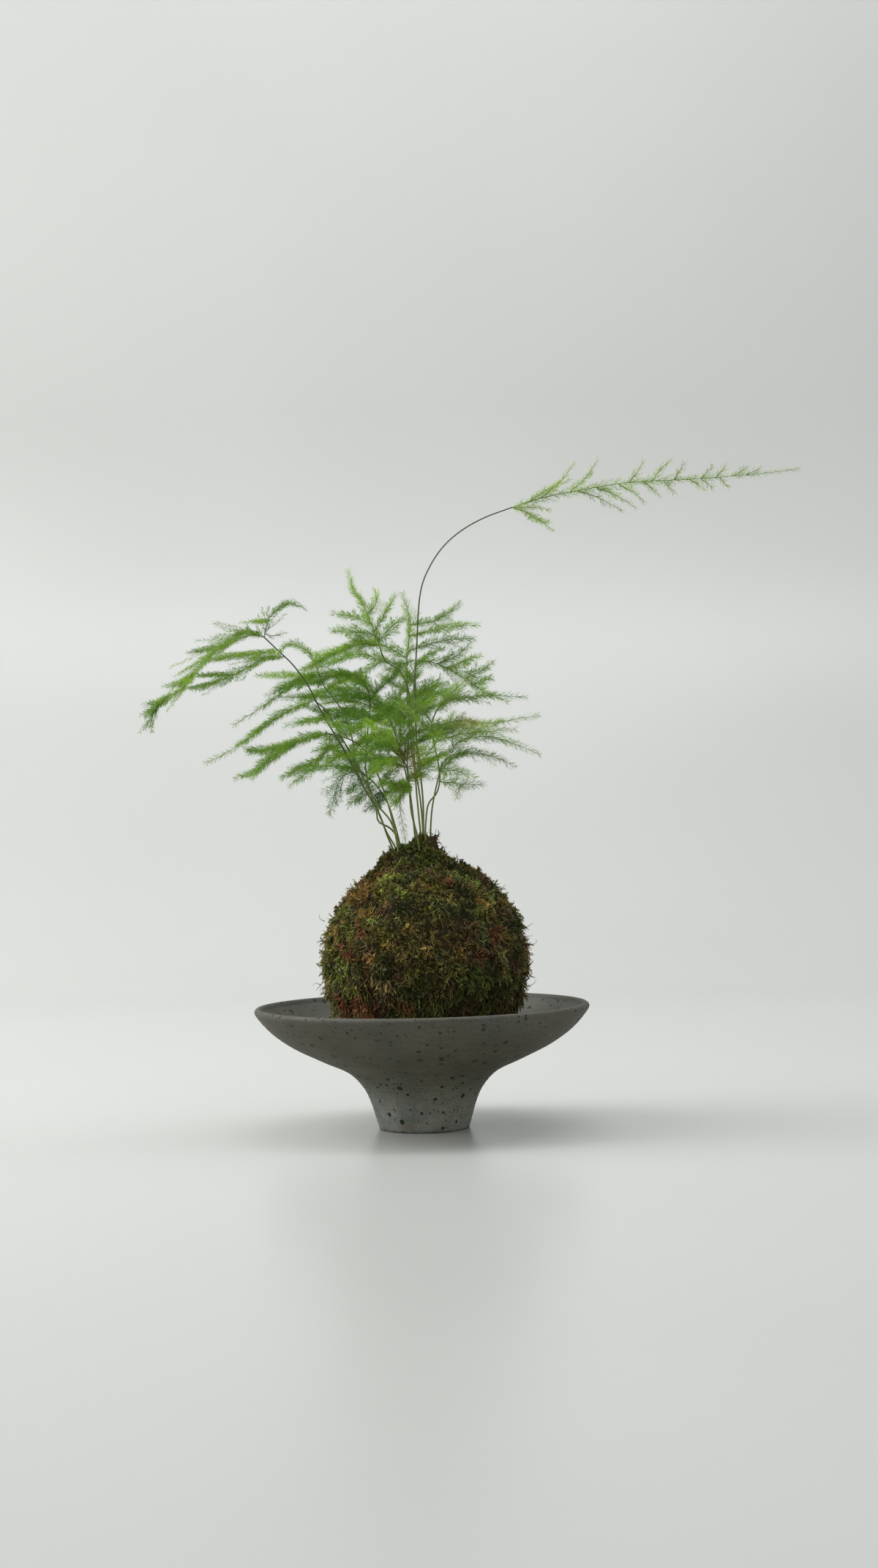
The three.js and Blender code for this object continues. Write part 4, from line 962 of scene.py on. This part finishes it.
grow_frond(
    "frond_left_middle",
    stem=[
        (-9, 5, 139.5), (-10.5, 4.5, 149), (-12, 4.5, 157), (-15.5, 3.5, 161.5), (-18.5, 2.5, 163),
        (-21.5, 3, 165), (-22.5, 5, 171), (-25.5, 8, 180), (-28, 11, 194), (-26.5, 13, 214),
        (-25, 13, 232), (-28, 13, 243)
    ],
    sprays=[
        ([(-28, 13, 243), (-43, 14, 247), (-60, 12, 244), (-73, 10, 236), (-86, 8, 227), (-99, 6, 219)],
         0.65, 0.8, 0.05),
        [(-39, 14, 246), (-52, 26, 244), (-66, 36, 241)],
        [(-55, 12.5, 245.5), (-66, 0, 240), (-79, -8, 234)],
        [(-26, 13, 224), (-38, 24, 227), (-52, 34, 226)],
        [(-26, 13, 218), (-18.5, 10, 223.5), (-11, 6, 226)],
        [(-27, 12.8, 210), (-33.5, 18, 215.5), (-41.5, 24, 219)],
        [(-25, 13, 232), (-19, 12, 238), (-12.5, 12, 243.5), (-7.5, 14, 250.5)],
        [(-25.5, 13, 230), (-32, 22, 234), (-41.5, 32, 235.5), (-51, 40, 234.5)],
        [(-27, 12, 202), (-19.5, 6, 206.5), (-11.5, 0, 208.5)],
        [(-25, 13, 238), (-30, 4, 242.5), (-36.5, -6, 244), (-44.5, -14, 243.5)],
    ],
    stem_colours=("#697834", "#4b5c2b"), needle_colours=("#558321", "#95bb3f"),
    fan=0.9, density=0.9, tilt=0.05, bare=0.2, seed=103)

grow_frond(
    "frond_left_long",
    stem=[
        (-7.5, -2.5, 139.5), (-8.8, -2.6, 148.5), (-11.5, -3, 156), (-15, -4, 165.5),
        (-20.5, -5.5, 172.5), (-24.5, -8, 179.5), (-32, -10, 195.5), (-40.5, -12, 211.5),
        (-48, -13, 225), (-53.5, -14, 230)
    ],
    sprays=[
        [(-53.5, -14, 230), (-67, -16, 225), (-80, -18, 217), (-91, -20, 209), (-104, -22, 201),
         (-111, -23, 198)],
        [(-46, -12.7, 221.5), (-55, -24, 219), (-68, -34, 216)],
        [(-39, -11.6, 208), (-49, 0, 212), (-63, 8, 213)],
        [(-43, -12.3, 216), (-32, -24, 220), (-20, -34, 224)],
        [(-35, -11, 201.5), (-27.5, -8, 208.5), (-20, -4, 212.5)],
        [(-38.5, -12, 207.5), (-45.5, -16, 204.5), (-54, -20, 203)],
        [(-27.5, -9, 185.5), (-21, -14, 192.5), (-14.5, -20, 197)],
        [(-44, -13, 219), (-50, -6, 224.5), (-58.5, 2, 228.5)],
        [(-30.5, -10, 192.5), (-37, -4, 194), (-44, 2, 192.5)],
    ],
    stem_colours=("#78853c", "#505f2b"), needle_colours=("#548121", "#92b93c"),
    fan=0.8, density=0.85, tilt=0.05, bare=0.3, seed=104)

grow_frond(
    "frond_left_low",
    stem=[
        (-10, -7, 140), (-11, -8, 150), (-12.5, -9.5, 160), (-15, -12, 171.5), (-18.5, -15, 183.5),
        (-23, -19, 195), (-30, -26, 205.5), (-39.5, -31, 210), (-47, -34, 211.5)
    ],
    sprays=[
        [(-47, -34, 211.5), (-62, -37, 207), (-74, -39, 200), (-83, -40, 193), (-94, -40, 189)],
        [(-61, -37, 207), (-75, -48, 203), (-87, -56, 203)],
        [(-45, -33, 211), (-47, -30, 202), (-61, -26, 194), (-71, -22, 189)],
        [(-29, -25, 204.5), (-21, -31, 208), (-12, -33, 213)],
        [(-26.5, -22, 200), (-33, -16, 201), (-41, -10, 200), (-48.5, -6, 196.5)],
        [(-35.5, -30, 208), (-37.5, -38, 212.5), (-41.5, -46, 216)],
    ],
    stem_colours=("#78853c", "#53632d"), needle_colours=("#588424", "#92b73f"),
    fan=1, density=0.92, tilt=0.02, bare=0.1, seed=105)

grow_frond(
    "frond_left_hanging",
    stem=[
        (-8, 8.5, 139.5), (-9.5, 9.5, 149), (-12.5, 12, 162), (-17, 16, 176), (-24.5, 20, 187),
        (-34.5, 24, 194.5)
    ],
    sprays=[
        [(-34.5, 24, 194.5), (-45, 27, 196), (-56, 30, 196), (-71, 33, 186)],
        [(-33, 23.5, 193.5), (-41, 18, 190), (-45, 14, 181), (-48, 10, 169)],
        [(-24.5, 20, 187), (-31, 12, 181), (-37, 6, 174)],
        [(-21, 18.2, 182.5), (-20, 28, 177), (-24, 36, 173)],
        [(-28, 21.5, 190), (-41, 36, 203), (-53, 48, 209)],
        [(-22.5, 19, 184), (-28.5, 22, 180.5), (-33.5, 26, 176)],
        [(-20.5, 17.5, 180.5), (-25, 12, 174), (-28, 8, 172)],
        [(-29, 22, 191), (-24.5, 28, 196.5), (-20.5, 34, 202)],
        [(-22, 18.5, 182.5), (-16.5, 26, 189.5), (-11.5, 34, 195)],
        [(-26.5, 20, 188.5), (-32.5, 30, 186.5), (-39.5, 38, 182)],
        [(-19, 17, 179), (-14, 22, 183), (-9, 28, 186)],
        [(-30.5, 23, 192), (-36, 16, 198.5), (-43, 10, 202.5)],
    ],
    stem_colours=("#697834", "#445327"), needle_colours=("#406a1f", "#7ca640"),
    fan=0.7, density=0.85, tilt=0.5, ruffle=0.4, needle=4.4, leans=(0.3, 1.1), seed=106)


# Fronds at the top.
# Two upright fronds behind the tall stem, whose fine, half-open sprays fan out level on both sides.

grow_frond(
    "frond_top_left",
    stem=[
        (2, 1.5, 145), (1.5, 1.5, 154.5), (0, 2, 173.5), (-1, 3, 189.5), (-1.5, 4, 205),
        (-2.5, 5, 219), (-4, 6, 237), (-8.5, 6, 247), (-16, 6, 252), (-19, 6, 260.5)
    ],
    sprays=[
        [(-19, 6, 260.5), (-23, 6, 272), (-28, 5, 284), (-32, 4, 290), (-35, 2, 301)],
        ([(-19, 6, 260), (-30, 0, 261), (-46, -7, 254.5), (-60, -12, 246.5)], 1.5, 1.9, 0.05),
        [(-15, 6, 251), (-31, 16, 257), (-45, 26, 254), (-58, 34, 250)],
        [(-23, 6, 272), (-32, 14, 277), (-44, 22, 280)],
        [(-21.3, 6, 267), (-32, -6, 267), (-44, -16, 267)],
        [(-25.5, 5.5, 278), (-20, -2, 283), (-20, -7, 289)],
        [(-22, 6, 269), (-15, 9, 279), (-10, 12, 288)],
        [(-20, 6, 263), (-11, -8, 270), (-3, -16, 274)],
        [(-3, 5.5, 229), (4, 0, 234.5), (12, -6, 237.5)],
        [(-3.5, 6, 235), (-11, 10, 239.5), (-19, 16, 244)],
        [(-2, 5, 217), (-9, 0, 219), (-16, -4, 221)],
        [(-2.5, 5, 223), (4, 12, 228.5), (11, 20, 231.5)],
        [(-4.5, 6, 239), (-0.5, -4, 246), (5.5, -12, 251.5)],
    ],
    stem_colours=("#7b883e", "#5d6e38"), needle_colours=("#69972d", "#aece50"),
    fan=0.6, density=0.85, tilt=0.35, ruffle=0.3, seed=107)

grow_frond(
    "frond_top_middle",
    stem=[
        (2.8, 5, 145), (2.6, 5.5, 154.5), (2, 8, 169.5), (0.5, 11, 183.5), (-2, 15, 197.5),
        (-3.5, 19, 214), (-4.5, 22, 234), (-4.5, 22, 252.5)
    ],
    sprays=[
        [(-4.5, 22, 252.5), (-3, 22, 266), (-2, 21, 275), (-6, 18, 290)],
        [(-2.3, 21.5, 272), (14, 12, 275), (25, 4, 282)],
        [(-3, 22, 266), (18, 32, 272), (35, 42, 274)],
        [(-3.7, 22, 259), (17, 12, 263), (32, 4, 263)],
        [(-4.2, 22, 255), (-15, 34, 262), (-27, 44, 268)],
        [(-4, 21, 230), (2.5, 14, 234.5), (9.5, 8, 238), (17, 2, 239)],
        [(-4.5, 22, 242), (-10.5, 28, 247.5), (-17.5, 34, 250.5)],
        [(-4, 19.5, 218), (-9, 12, 223.5), (-15, 6, 227)],
    ],
    stem_colours=("#697834", "#536333"), needle_colours=("#638f2b", "#a7c74c"),
    fan=0.6, density=0.85, tilt=0.3, ruffle=0.3, seed=108)


# Tall plume.
# The one long stem, bare and wiry for most of its length, which arches over to the right and ends in
# a light plume of short-needled twigs.

grow_frond(
    "frond_tall_plume",
    stem=[
        (3.2, -1.5, 145), (2.8, -1.8, 154.5), (3, -3, 173.5), (2, -5, 189), (0.5, -7, 204.5),
        (0, -9, 232), (1.5, -10, 259.5), (4.5, -11, 289), (9.5, -11, 301), (17, -11, 311.5),
        (26.5, -11, 319.5), (38.5, -11, 326), (54, -11, 331.5)
    ],
    sprays=[
        [(54, -11, 331.5), (70, -12, 336), (93, -13, 340), (117, -14, 343), (152, -15, 344),
         (187, -16, 346), (207, -16, 348)],
        [(54, -11, 331.5), (66, -9, 327), (76, -6, 319)],
        [(54, -11, 331.5), (64, -20, 330), (73, -30, 327)],
        [(62, -9.8, 328.8), (68, 0, 326), (75, 8, 326)],
        [(70, -12, 336), (81, -17, 345), (87, -20, 353)],
        [(63, -11.5, 334), (74, -4, 342), (86, 4, 348)],
        [(86, -12.7, 339), (94, -8, 347), (101, -5, 357)],
        [(89, -13, 339.4), (101, -18, 334), (112, -22, 327)],
        [(100, -13.4, 341), (111, -7, 337), (121, -3, 331)],
        [(111, -14, 342), (118, -19, 337), (124, -23, 331)],
        [(116, -14, 343), (121, -18, 348), (124, -21, 353)],
        [(125, -14.3, 343.3), (134, -8, 336)],
        [(128, -14.4, 343.4), (134, -10, 350), (140, -8, 356)],
        [(134, -14.5, 343.6), (140, -20, 336)],
        [(140, -14.7, 343.8), (146, -19, 352)],
        [(149, -15, 344), (157, -9, 340)],
        [(155, -15, 344), (162, -11, 351)],
        [(156, -15, 344), (161, -20, 338)],
        [(163, -15.3, 344.4), (168, -19, 350)],
        [(165, -15.4, 344.6), (170, -10, 340)],
        [(173, -15.6, 345), (180, -12, 350)],
        [(180, -15.8, 345.5), (186, -20, 348)],
    ],
    stem_colours=("#6b7d39", "#4e5748"), needle_colours=("#6c952b", "#b2cd4d"),
    fan=0.33, density=0.58, tilt=0.5, ruffle=0.4, needle=3.2, seed=109)


# Fronds on the right.
# Three looser fronds whose sprays thin out to wisps, one of them low over the moss.

grow_frond(
    "frond_right_upper",
    stem=[
        (1, 8.5, 144), (0.3, 9, 153.5), (-1, 10.5, 158.5), (-3.5, 13, 169), (-4.5, 17, 182),
        (-5.5, 23, 198), (-4, 28, 214.5), (-1.5, 30, 234.5), (0.5, 30, 254)
    ],
    sprays=[
        [(0.5, 30, 254), (11, 28, 252), (19, 26, 248), (27, 24, 243), (38, 20, 235), (50, 16, 229)],
        [(12, 27.8, 251.7), (23, 20, 255), (31, 14, 262)],
        [(17, 26.5, 249), (27, 36, 253), (36, 46, 257)],
        [(28, 23.8, 242.4), (36, 14, 246), (42, 6, 250)],
        [(32, 22.4, 239.4), (42, 32, 243)],
        [(0.5, 30, 253.5), (-9, 33, 252), (-17, 35, 254), (-26, 38, 250), (-36, 42, 244)],
        [(-3.5, 29, 220.5), (3.5, 32, 227.5), (11, 38, 232.5)],
        [(-1.5, 30, 232.5), (7, 24, 239), (14, 18, 243.5)],
        [(-0.5, 30, 242.5), (-6.5, 34, 249), (-12, 40, 255)],
        [(-4.5, 27, 210), (2.5, 20, 214), (11, 14, 215.5), (20.5, 8, 216)],
        [(0.5, 30, 251), (7.5, 36, 257), (15, 42, 261)],
        [(-2.5, 29, 226.5), (-9, 22, 231), (-16, 16, 233)],
    ],
    stem_colours=("#697834", "#536333"), needle_colours=("#5d892f", "#a2c25a"),
    fan=0.68, density=0.78, tilt=0.35, ruffle=0.35, bare=0.18, seed=110)

grow_frond(
    "frond_right_middle",
    stem=[
        (4.2, -5, 146), (3.8, -5.5, 155), (4.3, -6.5, 164.5), (6, -8, 174), (10.5, -9.5, 179.5),
        (12.2, -11, 186.5), (12, -12, 192.5), (10, -14, 204), (8.5, -16, 216), (11.5, -17, 223.5)
    ],
    sprays=[
        [(11.5, -17, 223.5), (19, -18, 229), (32, -20, 230), (44, -22, 230), (58, -24, 229)],
        [(8.6, -15.8, 214.8), (22, -26, 217), (37, -34, 215), (64, -42, 218)],
        [(9.6, -14.5, 207), (28, -8, 211), (54, 0, 213)],
        [(8.8, -15.5, 213), (1, -26, 219), (-8, -34, 225), (-19, -40, 229)],
        [(12, -17, 224), (21, -30, 233), (29, -40, 239)],
        [(9, -15, 212), (17, -10, 215), (26.5, -4, 216), (35.5, 2, 213)],
        [(8.5, -16, 216), (5, -22, 221.5), (-0.5, -28, 226.5), (-5.5, -32, 229)],
        [(10, -17, 221.5), (15, -14, 228.5), (20, -10, 233.5)],
        [(11.5, -10.5, 189.5), (17.5, -4, 196.5), (25.5, 2, 200.5), (34.5, 8, 201.5)],
        [(9, -15, 210.5), (14.5, -24, 212.5), (22.5, -32, 213), (30.5, -38, 212)],
    ],
    stem_colours=("#78853c", "#586933"), needle_colours=("#5d882f", "#a0be5a"),
    fan=0.68, density=0.7, tilt=0.3, ruffle=0.3, needle=4.2, bare=0.3,
    withered=[((29, -26, 216), 9)], seed=111)

grow_frond(
    "frond_right_low",
    stem=[
        (7, 1.5, 146.5), (6.6, 1.5, 156), (7.5, 2, 169.5), (9.5, 3, 180), (11.8, 3, 189),
        (13.7, 3, 195), (17.5, 3, 199)
    ],
    sprays=[
        [(17.5, 3, 199), (24, 2, 201), (34, 0, 200), (43, -2, 198), (52, -4, 193)],
        [(17, 3, 198.5), (24, 12, 208), (40, 17, 210), (56, 20, 205), (67, 22, 200)],
        [(12.4, 3, 191), (21, 16, 192), (32, 26, 188)],
        [(10.7, 3, 185), (24, -7, 184), (35, -14, 183)],
        [(23, -6.3, 184), (21, -7, 177)],
    ],
    stem_colours=("#78853c", "#5d6e38"), needle_colours=("#648c35", "#a5c161"),
    fan=0.62, density=0.62, tilt=0.4, ruffle=0.4, needle=4.4, bare=0.2, seed=112)


# Fronds in the middle.
# One frond leans to the front with a short hanging tail, and one leans to the back and fills the
# crown's depth.

grow_frond(
    "frond_centre_front",
    stem=[
        (0.8, -9, 145), (0, -9.5, 154), (-2, -12, 163.5), (-3, -16.5, 173.5), (-4, -22, 183),
        (-5, -28, 192.5), (-8, -35, 198.5), (-12.5, -41, 201.5)
    ],
    sprays=[
        [(-12.5, -41, 201.5), (-20, -48, 203), (-29, -56, 196)],
        ([(-4, -21.5, 182), (-8, -26, 179), (-9, -28, 173), (-8, -29, 164), (-6, -30, 152)], 0, 0.75, 0),
        [(-4, -22.5, 184), (-9, -33, 182), (-15, -40, 176)],
        [(-4.4, -24.5, 187), (3, -31, 189), (9, -36, 195)],
        [(-7, -32.5, 196.5), (-5, -38, 207), (-2, -42, 218)],
        [(-10.2, -38, 200.2), (-18, -50, 211), (-25, -62, 216)],
        [(-5, -28, 192.5), (-12, -30, 195), (-18.5, -34, 196.5), (-24.5, -38, 194)],
        [(-3.5, -23, 185), (-9.5, -24, 177), (-12.5, -26, 173.5)],
        [(-6, -31, 195), (-1, -28, 200), (3.5, -24, 203)],
        [(-7.5, -34, 197.5), (-14.5, -36, 204.5), (-21.5, -40, 207)],
        [(-4.5, -28, 191.5), (2.5, -34, 196), (9, -40, 203), (14, -46, 210.5)],
        [(-5.5, -31, 194.5), (-9, -30, 204), (-10.5, -28, 214), (-10, -26, 223.5)],
        [(-3.5, -21, 179), (-8.5, -28, 183), (-14.5, -34, 185), (-20.5, -38, 183.5)],
        [(-8.5, -35, 199), (-15.5, -44, 195), (-23, -52, 189)],
    ],
    stem_colours=("#697834", "#536333"), needle_colours=("#5c8b27", "#9ec143"),
    fan=0.9, density=0.9, tilt=0.3, ruffle=0.3,
    withered=[((-5, -30, 199), 7), ((-3, -32, 192), 5)], seed=113)

grow_frond(
    "frond_centre_back",
    stem=[
        (-1, 12, 142), (-1.5, 12.5, 150), (-3, 18, 168), (-5.5, 27, 186), (-9, 36, 202.5),
        (-14, 44, 219.5), (-20, 50, 231.5)
    ],
    sprays=[
        [(-20, 50, 231.5), (-33, 55, 239), (-49, 60, 240), (-68, 64, 234)],
        [(-13, 42.4, 216), (0, 48, 230), (13, 52, 236), (29, 58, 232)],
        [(-8.7, 35.3, 201), (4, 45, 211), (21, 54, 215)],
        [(-13.8, 43.7, 219), (-16, 62, 228), (-19, 82, 234)],
        [(-16.7, 47, 225), (-27, 62, 223), (-38, 76, 217)],
        [(-12, 40, 211), (-20.5, 44, 213.5), (-29.5, 48, 211.5), (-38, 50, 207)],
        [(-10, 38, 206), (-3, 42, 213), (5, 48, 216)],
        [(-16, 46, 223.5), (-8.5, 50, 231), (0.5, 54, 236), (9.5, 58, 238)],
        [(-18, 48, 227), (-28.5, 52, 231.5), (-41, 56, 234), (-53.5, 58, 232.5)],
        [(-13.5, 43, 217.5), (-22, 40, 221.5), (-33, 36, 224.5), (-43.5, 32, 223.5), (-53.5, 28, 223.5)],
        [(-5, 29, 187), (0.5, 34, 194), (8, 40, 199), (17, 46, 202.5)],
        [(-7.5, 33, 194.5), (-14.5, 40, 199), (-24, 48, 201), (-33.5, 54, 199.5)],
        [(-15.5, 46, 223.5), (-12, 44, 233.5), (-5, 42, 241.5), (3, 40, 248)],
        [(-18.5, 49, 229.5), (-25, 52, 238.5), (-33.5, 56, 245), (-42.5, 58, 249.5)],
        [(-11, 38, 209), (-4, 34, 218.5), (4.5, 30, 225.5), (14.5, 26, 229)],
    ],
    stem_colours=("#697834", "#445327"), needle_colours=("#4a7720", "#84ac39"),
    fan=1, density=0.9, tilt=0.15, ruffle=0.2, seed=114)


# Floor, light and camera.
# A plain pale sheet that curves up behind the plant, lit through a wide soft window on the left,
# with a soft light overhead, a wash on the wall behind, and pale light from all round.

SWEEP_RADIUS = 0.7
SWEEP_BACK = 1.6
SWEEP_HALF_WIDTH = 3
SWEEP_FRONT = -2.5
SWEEP_TOP = 3.2
CAMERA_PLACE = (11.76 * MM, -1174 * MM, 158 * MM)
CAMERA_PITCH = 0.0225
CAMERA_ROLL = -0.0217

# Smooth pale paper has a broad sheen, which mirrors the foot softly below it.
paper, tree, place = new_material("pale_smooth_backdrop")
paper_grain = add_node(tree, "ShaderNodeTexNoise", {"Vector": place, "Scale": 1 / (300 * MM), "Detail": 2.0})
paper_tone = add_node(tree, "ShaderNodeMix", {
    0: paper_grain.outputs[0], 6: linear("#bcbdba"), 7: linear("#c1c2bf")}, data_type="RGBA")
shader = add_node(tree, "ShaderNodeBsdfPrincipled", {
    "Base Color": paper_tone.outputs[2], "Roughness": 0.3, "IOR": 1.4})
finish_material(tree, shader)

sweep_line = [(SWEEP_FRONT, 0), (SWEEP_BACK - SWEEP_RADIUS, 0)]
for angle in np.radians(np.linspace(0, 90, 24)[1:]):
    sweep_line.append((
        SWEEP_BACK - SWEEP_RADIUS + SWEEP_RADIUS * math.sin(angle), SWEEP_RADIUS * (1 - math.cos(angle))))
sweep_line.append((SWEEP_BACK, SWEEP_TOP))
sweep = bpy.data.meshes.new("sweep")
sweep.from_pydata(
    [(side * SWEEP_HALF_WIDTH, y, z) for y, z in sweep_line for side in (-1, 1)], [],
    [(2 * i, 2 * i + 1, 2 * i + 3, 2 * i + 2) for i in range(len(sweep_line) - 1)])
for polygon in sweep.polygons:
    polygon.use_smooth = True
sweep.materials.append(paper)
floor = bpy.data.objects.new("sweep", sweep)
bpy.context.scene.collection.objects.link(floor)

surroundings = bpy.data.worlds.new("pale_room")
surroundings.use_nodes = True
surroundings.node_tree.nodes["Background"].inputs["Color"].default_value = linear("#e9ecec")
surroundings.node_tree.nodes["Background"].inputs["Strength"].default_value = 0.66
bpy.context.scene.world = surroundings


def soft_light(name, place, aim, size, watts, colour):
    lamp = bpy.data.lights.new(name, "AREA")
    lamp.shape = "RECTANGLE"
    lamp.size, lamp.size_y = size
    lamp.energy = watts
    lamp.color = linear(colour)[:3]
    holder = bpy.data.objects.new(name, lamp)
    holder.location = place
    holder.rotation_euler = (Vector(aim) - Vector(place)).to_track_quat("-Z", "Y").to_euler()
    bpy.context.scene.collection.objects.link(holder)


soft_light("window", (-1.5, 0.1, 1.3), (0, 0, 0.15), (1.3, 1.6), 34, "#fdfdfb")
soft_light("overhead", (0.2, 0.3, 2.0), (0, 0, 0.1), (1.6, 1.6), 14, "#fbfcff")
soft_light("wall_wash", (0, 0.2, 2.4), (0, 1.6, 0.8), (2.4, 0.6), 14, "#ffffff")

# The picture is taken from 1.17 m away, a little above the crown's foot, and leans by about a degree
lens = bpy.data.cameras.new("photo_camera")
lens.lens = 50
lens.sensor_width = 36
lens.clip_start = 0.05
camera = bpy.data.objects.new("photo_camera", lens)
camera.matrix_world = (
    Matrix.Translation(CAMERA_PLACE)
    @ Matrix.Rotation(math.pi / 2 + CAMERA_PITCH, 4, "X")
    @ Matrix.Rotation(CAMERA_ROLL, 4, "Z"))
bpy.context.scene.collection.objects.link(camera)
bpy.context.scene.camera = camera
bpy.context.scene.view_settings.view_transform = "Standard"
